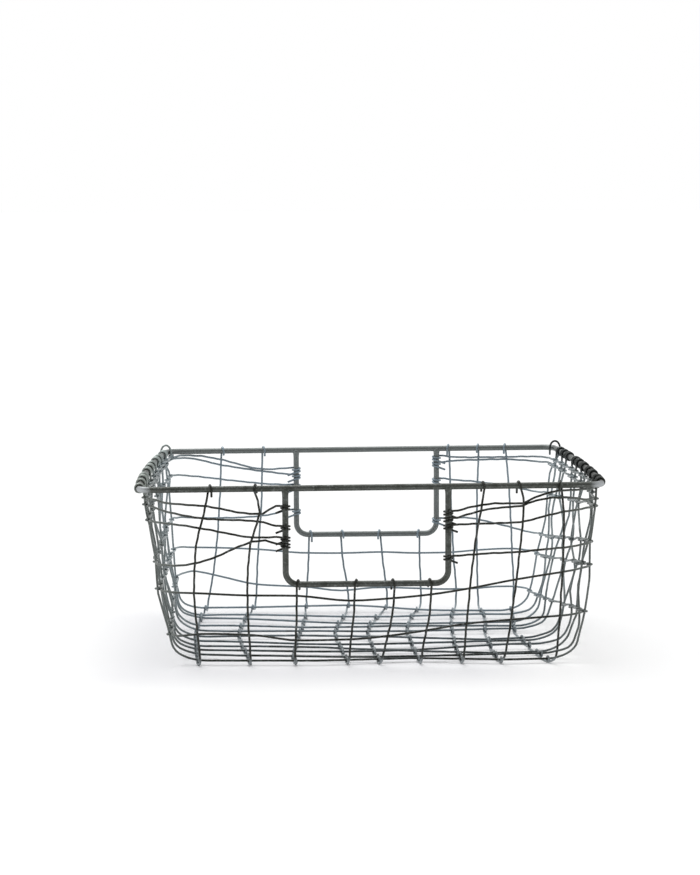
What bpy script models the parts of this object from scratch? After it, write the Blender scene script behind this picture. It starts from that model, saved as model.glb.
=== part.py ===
"""Wire mesh basket, bent by hand from two thicknesses of steel wire. Metres, +Z up.

A thick rod makes the rim and the two U-shaped handles that hang from it. Thin wires make the mesh in
three layers, so that every crossing has a clear gap: the hoops run level and lie inside, the depth wires
run front to back and lie outside them and lowest on the floor, and the length wires run end to end,
resting on the depth wires below and lying outside the hoops on the end walls. There the length wires come
up inside the rim and hook outward over it, all but the rearmost one.
"""
import math

import bmesh
import bpy
import numpy as np
from mathutils import Matrix, Vector

# Rim of thick rod, measured over the rods, with the front to -Y
RIM_LENGTH_FRONT = 0.400
RIM_LENGTH_BACK = 0.380
RIM_DEPTH = 0.300
RIM_TOP = 0.1593
RIM_CORNER_RADIUS = 0.010
SIDE_RAIL_BOW = 0.005
ROD_DIAMETER = 0.005

# Handles, measured between the middles of the rods
HANDLE_WIDTH_FRONT = 0.139
HANDLE_WIDTH_BACK = 0.1364
HANDLE_OFFSET_FRONT = -0.0037
HANDLE_OFFSET_BACK = 0.0058
HANDLE_DROP = 0.083
HANDLE_CORNER_RADIUS = 0.011
WELD_FLARE = 0.0009
WELD_HEIGHT = 0.003

# Where straight lines down from the middles of the rim's rods meet the floor, which bound the mesh, and
# how far inside them the side walls' hoops would reach it
FLOOR_FRONT_LEFT = 0.172
FLOOR_FRONT_RIGHT = 0.184
FLOOR_BACK_LEFT = 0.178
FLOOR_BACK_RIGHT = 0.166
FOOT_INSET_FRONT_LEFT = 0.0075
FOOT_INSET_FRONT_RIGHT = 0.0080
FOOT_INSET_BACK_LEFT = 0.0060
FOOT_INSET_BACK_RIGHT = 0.0145
FLOOR_FRONT_REACH = 0.136
FLOOR_BACK_REACH = 0.129
SIDE_WALL_BULGE = 0.0037
FRONT_WALL_BULGE = 0.005
BACK_WALL_BULGE = 0.008

# Bends between the walls and the floor
SIDE_BEND_RISE = 0.018
SIDE_BEND_RUN = 0.024
END_BEND_RISE = 0.012
END_BEND_RUN = 0.012
HOOP_CORNER_RADIUS = 0.016

# Thin wire, and the clearance where two pieces touch
WIRE_DIAMETER = 0.0016
CONTACT_GAP = 0.0003

# Hooks over the rods, and the two looser hooks of the rearmost length wire
HOOK_BLEND = 0.010
HOOK_STUB = 0.006
HOOK_LEAN = 0.0025
HOOK_LEAD = 0.012
LOOSE_HOOK_BLEND = 0.024
LOOSE_HOOK_EASE = 0.0011
LOOSE_HOOK_RISE = 0.0024

# Turns of the hoops' ends round the handle uprights
WRAP_TURNS = 1.5
WRAP_SPACE = 0.0010
WRAP_APPROACH = 0.008
WRAP_TAIL = 0.008
WRAP_TAIL_DROP = 0.003

# Facets
ROD_SIDES = 10
WIRE_SIDES = 6
ARC_STEPS = 5
BEND_STEPS = 4
BLEND_STEPS = 3
DEPTH_WALL_STEPS = 6
LENGTH_WALL_STEPS = 8
FLOOR_STEPS = 6
HANDLE_CORNER_STEPS = 6
RIM_CORNER_STEPS = 4
HOOP_CORNER_STEPS = 3
WRAP_STEPS = 10
HOOP_END_STEPS = 9
SIDE_STEPS = 6
PROBE_STEPS = 81
PROBES_PER_STEP = 6
SHARP_ANGLE = math.radians(50)

# Small proportions: how round a bend is, and the step over which a wall's slope is read
ROUNDNESS_SHARE = 0.55
SLOPE_STEP_SHARE = 0.01

# Dull grey metal: linear colours, and how metallic and how rough it is
ROD_COLOUR = (0.105, 0.115, 0.110)
WIRE_COLOUR = (0.080, 0.085, 0.082)
METALLIC_SHARE = 0.8
ROD_ROUGHNESS = 0.45
WIRE_ROUGHNESS = 0.50

# Depth wires: where each lies across the basket, as shares from the left side to the right.
# A route runs from 0 at the front rail to 1 at the floor's front, 2 at its back and 3 at the back rail.
DEPTH_ROUTE_SHARES = (0, 0.1, 0.33, 0.65, 0.94, 1.07, 1.5, 1.93, 2.06, 2.35, 2.67, 3)
DEPTH_WIRE_SHARES = (
    (0.150, 0.137, 0.103, 0.081, 0.074, 0.064, 0.054, 0.070, 0.086, 0.113, 0.129, 0.140),
    (0.247, 0.255, 0.223, 0.203, 0.195, 0.190, 0.169, 0.197, 0.219, 0.229, 0.241, 0.246),
    (0.330, 0.329, 0.326, 0.317, 0.303, 0.300, 0.324, 0.357, 0.361, 0.368, 0.371, 0.372),
    (0.460, 0.460, 0.458, 0.450, 0.433, 0.428, 0.420, 0.466, 0.479, 0.460, 0.450, 0.446),
    (0.550, 0.550, 0.548, 0.541, 0.514, 0.505, 0.506, 0.563, 0.587, 0.569, 0.555, 0.548),
    (0.633, 0.633, 0.631, 0.627, 0.608, 0.606, 0.609, 0.656, 0.682, 0.672, 0.667, 0.664),
    (0.745, 0.740, 0.726, 0.715, 0.709, 0.708, 0.727, 0.764, 0.781, 0.765, 0.748, 0.731),
    (0.822, 0.832, 0.828, 0.819, 0.808, 0.798, 0.814, 0.848, 0.843, 0.830, 0.818, 0.808),
    (0.912, 0.918, 0.925, 0.929, 0.932, 0.910, 0.895, 0.932, 0.942, 0.927, 0.906, 0.878),
)
# These depth wires hang on the handles' bars, counted from 0; the others hang on the rails
BAR_WIRES = (2, 3, 4, 5)
# These come up inside the front rail and hook outward, the last one from behind its two top hoops; the
# others come up outside and hook inward
OUTWARD_HOOK_LEADS = {0: 0, 8: HOOK_LEAD}

# Length wires: where each lies along the depth, as shares from the front to the back.
# A route runs from 0 at the left rail to 1 and 2 at the floor's ends and 3 at the right rail.
LENGTH_ROUTE_SHARES = (0, 0.18, 0.39, 0.57, 0.8, 1.1, 1.5, 1.9, 2.2, 2.43, 2.61, 2.82, 3)
LENGTH_WIRE_SHARES = (
    (0.968, 0.970, 0.973, 0.976, 0.980, 0.988, 0.994, 0.950, 0.942, 0.944, 0.948, 0.955, 0.962),
    (0.885, 0.888, 0.862, 0.878, 0.866, 0.866, 0.810, 0.817, 0.800, 0.858, 0.842, 0.880, 0.880),
    (0.800, 0.778, 0.812, 0.788, 0.812, 0.795, 0.709, 0.700, 0.752, 0.730, 0.806, 0.758, 0.790),
    (0.705, 0.728, 0.690, 0.724, 0.690, 0.690, 0.634, 0.620, 0.618, 0.692, 0.650, 0.722, 0.712),
    (0.620, 0.590, 0.632, 0.586, 0.618, 0.593, 0.541, 0.537, 0.578, 0.540, 0.614, 0.575, 0.608),
    (0.520, 0.535, 0.488, 0.520, 0.462, 0.474, 0.429, 0.390, 0.400, 0.500, 0.450, 0.538, 0.520),
    (0.430, 0.400, 0.430, 0.375, 0.392, 0.366, 0.306, 0.345, 0.366, 0.338, 0.412, 0.385, 0.425),
    (0.330, 0.350, 0.308, 0.328, 0.284, 0.295, 0.216, 0.257, 0.245, 0.303, 0.264, 0.345, 0.338),
    (0.242, 0.220, 0.250, 0.210, 0.236, 0.209, 0.157, 0.165, 0.205, 0.170, 0.230, 0.200, 0.235),
    (0.150, 0.168, 0.140, 0.168, 0.148, 0.150, 0.090, 0.100, 0.095, 0.135, 0.112, 0.162, 0.145),
    (0.060, 0.058, 0.064, 0.055, 0.054, 0.049, 0.040, 0.045, 0.045, 0.050, 0.060, 0.048, 0.055),
)
LOOSE_HOOK_WIRES = (0,)

# Hoops: how high each lies, as shares from the top of the floor bend to the rim, at places round the
# basket. A place counts 0 at the front left corner, 1 front right, 2 back right and 3 back left.
BAR_HEIGHT_SHARE = 0.403
LEFT_PLACE_SHARES = (-1.334, -1.25, -1.13, -1.05, -1, -0.5, 0, 0.05, 0.12, 0.24, 0.26, 0.315)
LEFT_HOOP_SHARES = (
    (0.875, 0.866, 0.938, 0.972, 0.972, 0.955, 0.940, 0.915, 0.900, 0.845, 0.845, 0.894),
    (0.829, 0.850, 0.900, 0.949, 0.955, 0.920, 0.890, 0.860, 0.820, 0.800, 0.790, 0.770),
    (0.756, 0.764, 0.800, 0.825, 0.836, 0.815, 0.800, 0.788, 0.757, 0.698, 0.699, 0.699),
    (0.580, 0.540, 0.526, 0.530, 0.537, 0.526, 0.530, 0.527, 0.561, 0.678, 0.680, 0.690),
)
RIGHT_PLACE_SHARES = (0.667, 0.735, 0.787, 0.83, 0.875, 0.92, 1, 1.5, 2, 2.11, 2.185, 2.265, 2.303)
RIGHT_HOOP_SHARES = (
    (0.850, 0.881, 0.893, 0.889, 0.938, 0.967, 0.972, 0.955, 0.936, 0.935, 0.934, 0.942, 0.947),
    (0.810, 0.843, 0.867, 0.873, 0.913, 0.927, 0.906, 0.910, 0.900, 0.918, 0.917, 0.908, 0.904),
    (0.764, 0.769, 0.771, 0.774, 0.803, 0.832, 0.857, 0.771, 0.692, 0.738, 0.764, 0.785, 0.790),
    (0.572, 0.580, 0.586, 0.591, 0.602, 0.612, 0.634, 0.519, 0.411, 0.468, 0.508, 0.522, 0.509),
)
FULL_PLACE_SHARES = (0, 0.085, 0.2, 0.31, 0.445, 0.53, 0.625, 0.717, 0.817, 0.93, 1, 1.5, 2,
                     2.067, 2.167, 2.23, 2.326, 2.425, 2.533, 2.632, 2.773, 2.892, 2.96, 3, 3.5)
FULL_HOOP_SHARES = (
    (0.361, 0.352, 0.335, 0.330, 0.295, 0.306, 0.328, 0.364, 0.414, 0.461, 0.486, 0.375, 0.281,
     0.288, 0.277, 0.265, 0.263, 0.272, 0.267, 0.270, 0.299, 0.313, 0.317, 0.324, 0.335),
    (0.072, 0.090, 0.079, 0.041, 0.047, 0.067, 0.101, 0.140, 0.162, 0.184, 0.195, 0.101, 0.029,
     0.029, 0.014, 0.014, 0.022, 0.029, 0.010, 0.036, 0.056, 0.120, 0.152, 0.143, 0.094),
)
# Where the handles' uprights stand across the basket in the tables above, front and back
UPRIGHT_PLACE_SHARES = ((0.315, 0.667), (0.334, 0.697))

# Worked out from the sizes above
ROD_RADIUS = ROD_DIAMETER / 2
WIRE_RADIUS = WIRE_DIAMETER / 2
RIM_HEIGHT = RIM_TOP - ROD_RADIUS
BAR_HEIGHT = RIM_HEIGHT - HANDLE_DROP
HALF_DEPTH = RIM_DEPTH / 2 - ROD_RADIUS
HALF_LENGTHS = (RIM_LENGTH_FRONT / 2 - ROD_RADIUS, RIM_LENGTH_BACK / 2 - ROD_RADIUS)
END_WALLS = {-1: (FLOOR_FRONT_REACH, FRONT_WALL_BULGE), 1: (FLOOR_BACK_REACH, BACK_WALL_BULGE)}
FLOOR_LEFT = (FLOOR_FRONT_LEFT, FLOOR_BACK_LEFT)
FLOOR_RIGHT = (FLOOR_FRONT_RIGHT, FLOOR_BACK_RIGHT)
FOOT_INSET_LEFT = (FOOT_INSET_FRONT_LEFT, FOOT_INSET_BACK_LEFT)
FOOT_INSET_RIGHT = (FOOT_INSET_FRONT_RIGHT, FOOT_INSET_BACK_RIGHT)
LAYER_STEP = WIRE_DIAMETER + CONTACT_GAP
CLASP_RADIUS = ROD_RADIUS + CONTACT_GAP + WIRE_RADIUS
SIDE_INSET = CLASP_RADIUS + LAYER_STEP
WRAP_PITCH = WIRE_DIAMETER + WRAP_SPACE
HANDLE_WIDTHS = (HANDLE_WIDTH_FRONT, HANDLE_WIDTH_BACK)
HANDLE_OFFSETS = (HANDLE_OFFSET_FRONT, HANDLE_OFFSET_BACK)

X_AXIS = Vector((1, 0, 0))
Y_AXIS = Vector((0, 1, 0))
Z_AXIS = Vector((0, 0, 1))


def mix(start, end, share):
    return start + (end - start) * share


def hump(share):
    """0 at both ends of a span and 1 midway."""
    return 4 * share * (1 - share)


def ease(share):
    """A soft S from 0 to 1."""
    share = min(max(share, 0), 1)
    return share * share * (3 - 2 * share)


def round_corner(start, corner, end, share):
    """A point of a nearly circular curve from start to end, which heads for the corner at both."""
    first = mix(start, corner, ROUNDNESS_SHARE)
    second = mix(end, corner, ROUNDNESS_SHARE)
    rest = 1 - share
    return (rest**3 * start + 3 * rest**2 * share * first + 3 * rest * share**2 * second + share**3 * end)


def smooth_read(places, values, place):
    """Read, at one place, the smooth curve that passes through values at places and turns only there."""
    steep = np.diff(values) / np.diff(places)
    slopes = [steep[0]]
    for before, after in zip(steep, steep[1:]):
        slopes.append(2 * before * after / (before + after) if before * after > 0 else 0)
    slopes.append(steep[-1])
    i = int(np.clip(np.searchsorted(places, place) - 1, 0, len(places) - 2))
    span = places[i + 1] - places[i]
    t = float(np.clip((place - places[i]) / span, 0, 1))
    start = (2 * t**3 - 3 * t**2 + 1) * values[i] + (t**3 - 2 * t**2 + t) * span * slopes[i]
    end = (3 * t**2 - 2 * t**3) * values[i + 1] + (t**3 - t**2) * span * slopes[i + 1]
    return float(start + end)


def depth_share(y):
    return (y + HALF_DEPTH) / (2 * HALF_DEPTH)


def side_x(side, depth, height):
    """X of a straight left (-1) or right (+1) wall from the rail's middle down, at shares of the depth and
    of the rim's height."""
    floor = mix(*(FLOOR_LEFT if side < 0 else FLOOR_RIGHT), depth)
    rim = mix(*HALF_LENGTHS, depth) + SIDE_RAIL_BOW * hump(depth)
    return side * mix(floor, rim, height)


def side_hoop_x(side, depth, height):
    """X of the left or right wall's hoop layer, which leaves room for the length wires inside the rail."""
    foot_inset = mix(*(FOOT_INSET_LEFT if side < 0 else FOOT_INSET_RIGHT), depth)
    inset = mix(foot_inset, SIDE_INSET, height) - SIDE_WALL_BULGE * hump(height)
    return side_x(side, depth, height) - side * inset


def end_y(side, height, bulging=1.0):
    """Y of the front (-1) or back (+1) wall's hoop layer, at a share of the rim's height."""
    reach, bulge = END_WALLS[side]
    return side * (mix(reach, HALF_DEPTH, height) + bulging * bulge * hump(height))


def upright_x(end, side):
    """X of a handle's upright; end is 0 for the front handle and 1 for the back one."""
    return HANDLE_OFFSETS[end] + side * HANDLE_WIDTHS[end] / 2


def across_share(end, x):
    left, right = side_x(-1, end, 1), side_x(1, end, 1)
    return (x - left) / (right - left)


def across_x(share, y, z):
    """X of a share across the basket; the shares move with the handles' uprights."""
    depth, height = depth_share(y), z / RIM_HEIGHT
    marks = [mix(front, back, depth) for front, back in zip(*UPRIGHT_PLACE_SHARES)]
    stands = [mix(*(across_share(end, upright_x(end, side)) for end in (0, 1)), depth) for side in (-1, 1)]
    share = float(np.interp(share, (0, *marks, 1), (0, *stands, 1)))
    return mix(side_x(-1, depth, height), side_x(1, depth, height), share)


def along_y(share, height):
    """Y of a share along the depth, at a share of the rim's height."""
    return mix(end_y(-1, height, 0), end_y(1, height, 0), share)


def bar_height(end, x):
    """Height of a handle's middle line at x, which rises at the handle's round corners."""
    flat = HANDLE_WIDTHS[end] / 2 - HANDLE_CORNER_RADIUS
    past = min(max(abs(x - HANDLE_OFFSETS[end]) - flat, 0), HANDLE_CORNER_RADIUS)
    return BAR_HEIGHT + HANDLE_CORNER_RADIUS - math.sqrt(HANDLE_CORNER_RADIUS**2 - past**2)


def route_place(floor_share, height):
    """Place on a wire's route: 0 to 1 down one wall, 1 to 2 over the floor and 2 to 3 up the other wall."""
    floor_share = min(max(floor_share, 0), 1)
    return 1 + floor_share + (height if floor_share > 0.5 else -height)


def wall_and_bend(wall, top, rise, run, rest, steps, blend=HOOK_BLEND, lead=0.0):
    """Points of one wall's outer layer and its bend, as (reach, z), from the height top down to the floor.

    wall gives the reach of the hoop layer at a share of the rim's height, and rest is the height at which
    the wire lies on the floor. It joins its hook over the height blend, and lead is the height of the
    stretch above that, already in line with the hook.
    """
    def reach_and_slope(z):
        share = z / RIM_HEIGHT
        slope = (wall(share + SLOPE_STEP_SHARE) - wall(share)) / (SLOPE_STEP_SHARE * RIM_HEIGHT)
        return wall(share) + LAYER_STEP * math.hypot(1, slope), slope

    heights = [top] if lead else []
    heights += list(np.linspace(top - lead, top - lead - blend, BLEND_STEPS + 1))
    heights += list(np.linspace(top - lead - blend, rise, steps + 1)[1:])
    points = [np.array((reach_and_slope(z)[0], z)) for z in heights]
    reach, slope = reach_and_slope(rise)
    start = points[-1]
    corner = np.array((reach - slope * (rise - rest), rest))
    end = corner - np.array((run, 0))
    for i in range(1, BEND_STEPS + 1):
        points.append(round_corner(start, corner, end, i / BEND_STEPS))
    return points


def end_profile(side, top, lead=0.0):
    """A depth wire's line down the front or back wall to the floor, as (y, z)."""
    def wall(height):
        return abs(end_y(side, height))

    line = wall_and_bend(wall, top, END_BEND_RISE, END_BEND_RUN, WIRE_RADIUS, DEPTH_WALL_STEPS, lead=lead)
    return [(side * reach, z) for reach, z in line]


def resting_height(y):
    """Height of the middle of a wire lying across the depth wires at y, on the floor or in their bends."""
    line = end_profile(-1, BAR_HEIGHT) + end_profile(1, BAR_HEIGHT)[::-1]
    ys, zs = np.array(line).T
    shifts = np.linspace(-LAYER_STEP, LAYER_STEP, PROBE_STEPS)[1:-1]
    return float(np.max(np.interp(y + shifts, ys, zs) + np.sqrt(LAYER_STEP**2 - shifts**2)))


def hook(rod_reach, rod_height, out, ease_out=0.0, rise=0.0):
    """A hook over a rod, from its stub's end to where it meets the wall, as (reach, z, share of its lean).

    out is +1 where the wire comes up outside the rod and ends inside, and -1 the other way round.
    """
    radius = CLASP_RADIUS + ease_out
    points = [(rod_reach - out * radius, rod_height - HOOK_STUB, 1)]
    for i in range(ARC_STEPS + 1):
        angle = math.pi * i / ARC_STEPS
        height = rod_height + (radius + rise) * math.sin(angle)
        points.append((rod_reach - out * radius * math.cos(angle), height, 1 - i / ARC_STEPS))
    return points


def toward_hook(reach, z, rod_reach, rod_height, out, ease_out=0.0, blend=HOOK_BLEND, lead=0.0):
    """Draw a wall point over to the side of the rod where its hook begins."""
    share = ease(1 - (rod_height - lead - z) / blend)
    return mix(reach, rod_reach + out * (CLASP_RADIUS + ease_out), share)


def depth_wire_points(number):
    shares = DEPTH_WIRE_SHARES[number]
    lean = HOOK_LEAN if shares[0] < 0.5 else -HOOK_LEAN

    def point(y, z, top=RIM_HEIGHT):
        floor_share = (y + FLOOR_FRONT_REACH) / (FLOOR_FRONT_REACH + FLOOR_BACK_REACH)
        place = route_place(floor_share, min(z, top) / RIM_HEIGHT)
        return Vector((across_x(smooth_read(DEPTH_ROUTE_SHARES, shares, place), y, min(z, top)), y, z))

    halves = []
    for end, side in ((0, -1), (1, 1)):
        rod_height = RIM_HEIGHT
        if number in BAR_WIRES:
            rod_height = bar_height(end, point(side * HALF_DEPTH, BAR_HEIGHT).x)
        outward = end == 0 and number in OUTWARD_HOOK_LEADS
        out, lead = (-1, OUTWARD_HOOK_LEADS[number]) if outward else (1, 0)
        start = point(side * HALF_DEPTH, rod_height)
        half = []
        for reach, z, k in hook(HALF_DEPTH, rod_height, out):
            half.append(Vector((start.x + lean * k, side * reach, z)))
        for y, z in end_profile(side, rod_height, lead)[1:]:
            reach = toward_hook(abs(y), z, HALF_DEPTH, rod_height, out, lead=lead)
            half.append(point(side * reach, z))
        halves.append(half)
    front, back = halves
    ys = np.linspace(front[-1].y, back[-1].y, FLOOR_STEPS + 1)[1:-1]
    return front + [point(y, WIRE_RADIUS) for y in ys] + back[::-1]


def length_wire_points(number):
    shares = LENGTH_WIRE_SHARES[number]
    if number in LOOSE_HOOK_WIRES:
        out, ease_out, rise, blend = 1, LOOSE_HOOK_EASE, LOOSE_HOOK_RISE, LOOSE_HOOK_BLEND
    else:
        out, ease_out, rise, blend = -1, 0, 0, HOOK_BLEND
    lean = HOOK_LEAN if shares[0] < 0.5 or number in LOOSE_HOOK_WIRES else -HOOK_LEAN

    def y_at(place, height):
        return along_y(smooth_read(LENGTH_ROUTE_SHARES, shares, place), height)

    def point(x, z):
        height = min(z / RIM_HEIGHT, 1)
        depth = depth_share(y_at(1 if x < 0 else 2, 0))
        left, right = side_hoop_x(-1, depth, 0), side_hoop_x(1, depth, 0)
        return Vector((x, y_at(route_place((x - left) / (right - left), height), height), z))

    halves = []
    for side, foot in ((-1, 1), (1, 2)):
        def wall(height):
            y = y_at(foot + side * height, height)
            return abs(side_hoop_x(side, depth_share(y), height))

        top_y = y_at(foot + side, 1)
        rod_reach = abs(side_x(side, depth_share(top_y), 1))
        half = []
        for reach, z, k in hook(0, RIM_HEIGHT, out, ease_out, rise):
            y = top_y + lean * k
            half.append(Vector((side_x(side, depth_share(y), 1) + side * reach, y, z)))
        rest = resting_height(y_at(foot, 0))
        line = wall_and_bend(wall, RIM_HEIGHT, SIDE_BEND_RISE, SIDE_BEND_RUN, rest, LENGTH_WALL_STEPS, blend)
        for reach, z in line[1:]:
            step = point(side * toward_hook(reach, z, rod_reach, RIM_HEIGHT, out, ease_out, blend), z)
            step.z = max(z, resting_height(step.y))
            half.append(step)
        halves.append(half)
    left, right = halves
    floor = []
    for i in range(1, FLOOR_STEPS):
        step = point(mix(left[-1].x, right[-1].x, i / FLOOR_STEPS), left[-1].z)
        step.z = resting_height(step.y)
        floor.append(step)
    return left + floor + right[::-1]


def hoop_height(share):
    """Height of a share between the top of the floor bend and the rim; the shares move with the bar."""
    bar = (BAR_HEIGHT - SIDE_BEND_RISE) / (RIM_HEIGHT - SIDE_BEND_RISE)
    share = float(np.interp(share, (0, BAR_HEIGHT_SHARE, 1), (0, bar, 1)))
    return mix(SIDE_BEND_RISE, RIM_HEIGHT, share)


def wall_point(place, height):
    """Point of the hoop layer at a place round the basket, before its corners are rounded."""
    wall = math.floor(place) % 4
    share = place - math.floor(place)
    front, back = end_y(-1, height), end_y(1, height)
    if wall in (1, 3):
        y = mix(front, back, share) if wall == 1 else mix(back, front, share)
        return np.array((side_hoop_x(1 if wall == 1 else -1, depth_share(y), height), y))
    end = 0 if wall == 0 else 1
    left, right = side_hoop_x(-1, end, height), side_hoop_x(1, end, height)
    return np.array((mix(left, right, share), front) if end == 0 else (mix(right, left, share), back))


def corner_shares(corner, height):
    """How much of the wall before a corner, and of the one after it, the corner's rounding takes."""
    at = wall_point(corner, height)
    before = np.linalg.norm(wall_point(corner - 1, height) - at)
    after = np.linalg.norm(wall_point(corner + 1, height) - at)
    return HOOP_CORNER_RADIUS / before, HOOP_CORNER_RADIUS / after


def hoop_point(place, z):
    """Point of the hoop layer at a place round the basket and a height, with its corners rounded."""
    height = z / RIM_HEIGHT
    corner = round(place)
    before, after = corner_shares(corner, height)
    offset = place - corner
    if not -before < offset < after:
        return Vector((*wall_point(place, height), z))
    share = (1 + offset / (before if offset < 0 else after)) / 2
    start, end = wall_point(corner - before, height), wall_point(corner + after, height)
    return Vector((*round_corner(start, wall_point(corner, height), end, share), z))


def hoop_places(first, last, height):
    """Places for a hoop's points: close together round the corners and even along the walls."""
    places = []
    for corner in range(math.floor(first), math.ceil(last) + 1):
        before, after = corner_shares(corner, height)
        next_before = corner_shares(corner + 1, height)[0]
        places += [corner - before * (1 - i / HOOP_CORNER_STEPS) for i in range(HOOP_CORNER_STEPS)]
        places += [corner + after * i / HOOP_CORNER_STEPS for i in range(HOOP_CORNER_STEPS)]
        steps = SIDE_STEPS if corner % 2 else HOOP_END_STEPS
        places += list(np.linspace(corner + after, corner + 1 - next_before, steps + 1)[:-1])
    return [place for place in places if first < place < last]


def full_hoop_points(number):
    shares = FULL_HOOP_SHARES[number] + FULL_HOOP_SHARES[number][:1]
    places = FULL_PLACE_SHARES + (4,)
    low = hoop_height(min(shares)) / RIM_HEIGHT
    points = []
    for place in hoop_places(0, 4, low):
        points.append(hoop_point(place, hoop_height(smooth_read(places, shares, place))))
    return points


def wrap_points(end, side, z):
    """A hoop's end wound round an upright, from its tail to where it leaves the rod towards the corner."""
    x, outward = upright_x(end, side), (1 if end else -1)
    y = outward * HALF_DEPTH
    tail_z = z - WRAP_PITCH * WRAP_TURNS - WRAP_TAIL_DROP
    points = [Vector((x + side * WRAP_TAIL, y - outward * CLASP_RADIUS, tail_z))]
    steps = round(WRAP_TURNS * WRAP_STEPS)
    for i in range(steps, -1, -1):
        angle = 2 * math.pi * i / WRAP_STEPS
        turned = Vector((-side * math.sin(angle), outward * math.cos(angle), 0)) * CLASP_RADIUS
        points.append(Vector((x, y, z - WRAP_PITCH * i / WRAP_STEPS)) + turned)
    for share in (1 / 3, 2 / 3, 1):
        near_x = x + side * WRAP_APPROACH * share
        wall = end_y(outward, z / RIM_HEIGHT)
        points.append(Vector((near_x, mix(y + outward * CLASP_RADIUS, wall, ease(share)), z)))
    return points


def stacked_heights(shares):
    """Heights of one upright's wraps, top first, each at least its own height below the one above."""
    room = WRAP_PITCH * WRAP_TURNS + WIRE_DIAMETER + CONTACT_GAP
    heights = []
    for share in shares:
        z = hoop_height(share)
        heights.append(min(z, heights[-1] - room) if heights else z)
    return heights


def end_hoop_points(side):
    """The four hoops round the left (-1) or right (+1) end, each as the points of one wire."""
    place_shares = LEFT_PLACE_SHARES if side < 0 else RIGHT_PLACE_SHARES
    table = LEFT_HOOP_SHARES if side < 0 else RIGHT_HOOP_SHARES
    ends = (1, 0) if side < 0 else (0, 1)
    starts = stacked_heights([row[0] for row in table])
    finishes = stacked_heights([row[-1] for row in table])
    hoops = []
    for row, start_z, finish_z in zip(table, starts, finishes):
        heights = [start_z] + [hoop_height(share) for share in row[1:-1]] + [finish_z]
        places = list(place_shares)
        for index, end, z in ((0, ends[0], start_z), (-1, ends[1], finish_z)):
            height = z / RIM_HEIGHT
            left, right = side_hoop_x(-1, end, height), side_hoop_x(1, end, height)
            share = (upright_x(end, side) + side * WRAP_APPROACH - left) / (right - left)
            base = 0 if end == 0 else (-1 if side < 0 else 3)
            places[index] = base + share if end == 0 else base - share
        mean = sum(heights) / len(heights) / RIM_HEIGHT
        points = wrap_points(ends[0], side, start_z)
        for place in hoop_places(places[0], places[-1], mean):
            points.append(hoop_point(place, smooth_read(places, heights, place)))
        points += wrap_points(ends[1], side, finish_z)[::-1]
        hoops.append(points)
    return hoops


def rim_points():
    """The rim's middle line, from its front left corner past the right ones, with bowed side rails."""
    turned = depth_share(RIM_CORNER_RADIUS - HALF_DEPTH)

    def on_side(side, depth):
        return Vector((side_x(side, depth, 1), mix(-HALF_DEPTH, HALF_DEPTH, depth), RIM_HEIGHT))

    points = []
    for side, end in ((-1, 0), (1, 0), (1, 1), (-1, 1)):
        corner = on_side(side, end)
        along_end = corner - X_AXIS * side * RIM_CORNER_RADIUS
        along_side = on_side(side, abs(end - turned))
        rail_next = (side > 0) != (end > 0)
        start, finish = (along_end, along_side) if rail_next else (along_side, along_end)
        for i in range(RIM_CORNER_STEPS + 1):
            points.append(round_corner(start, corner, finish, i / RIM_CORNER_STEPS))
        if rail_next:
            for i in range(1, SIDE_STEPS):
                points.append(on_side(side, mix(abs(end - turned), abs(1 - end - turned), i / SIDE_STEPS)))
    return points


def handle_points(end):
    """A handle's middle line and its radius at each point, from one weld down, along the bar and up."""
    y = HALF_DEPTH if end else -HALF_DEPTH
    top = RIM_HEIGHT - ROD_RADIUS - CONTACT_GAP
    turn = BAR_HEIGHT + HANDLE_CORNER_RADIUS
    half = []
    for fall, flare in ((0, WELD_FLARE), (1 / 2, WELD_FLARE / 3), (1, 0)):
        half.append((0, top - WELD_HEIGHT * fall, ROD_RADIUS + flare))
    for i in range(HANDLE_CORNER_STEPS + 1):
        angle = math.pi / 2 * i / HANDLE_CORNER_STEPS
        inward = HANDLE_CORNER_RADIUS * (1 - math.cos(angle))
        half.append((inward, turn - HANDLE_CORNER_RADIUS * math.sin(angle), ROD_RADIUS))
    left = [(Vector((upright_x(end, -1) + inward, y, z)), radius) for inward, z, radius in half]
    right = [(Vector((upright_x(end, 1) - inward, y, z)), radius) for inward, z, radius in half]
    return left + right[::-1]


def sweep(name, points, radii, across, sides, material, closed=False):
    """One closed tube along the points; across is an axis that the path never runs along."""
    bm = bmesh.new()
    rings = []
    count = len(points)
    for i, (point, radius) in enumerate(zip(points, radii)):
        after = points[(i + 1) % count] if closed or i < count - 1 else point
        before = points[i - 1] if closed or i > 0 else point
        along = (after - before).normalized()
        out = along.cross(across).normalized()
        turn = Matrix((out, along.cross(out), along)).transposed().to_4x4()
        place = Matrix.Translation(point) @ turn
        ring = bmesh.ops.create_circle(bm, segments=sides, radius=radius, matrix=place)["verts"]
        rings.append(ring)
    pairs = list(zip(rings, rings[1:] + rings[:1])) if closed else list(zip(rings, rings[1:]))
    for first, second in pairs:
        for k in range(sides):
            bm.faces.new((first[k], first[(k + 1) % sides], second[(k + 1) % sides], second[k]))
    if not closed:
        bm.faces.new(rings[0][::-1])
        bm.faces.new(rings[-1])
    bmesh.ops.recalc_face_normals(bm, faces=bm.faces)
    mesh = bpy.data.meshes.new(name)
    bm.to_mesh(mesh)
    bm.free()
    mesh.shade_smooth()
    mesh.set_sharp_from_angle(angle=SHARP_ANGLE)
    mesh.materials.append(material)
    piece = bpy.data.objects.new(name, mesh)
    bpy.context.scene.collection.objects.link(piece)
    return piece


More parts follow.
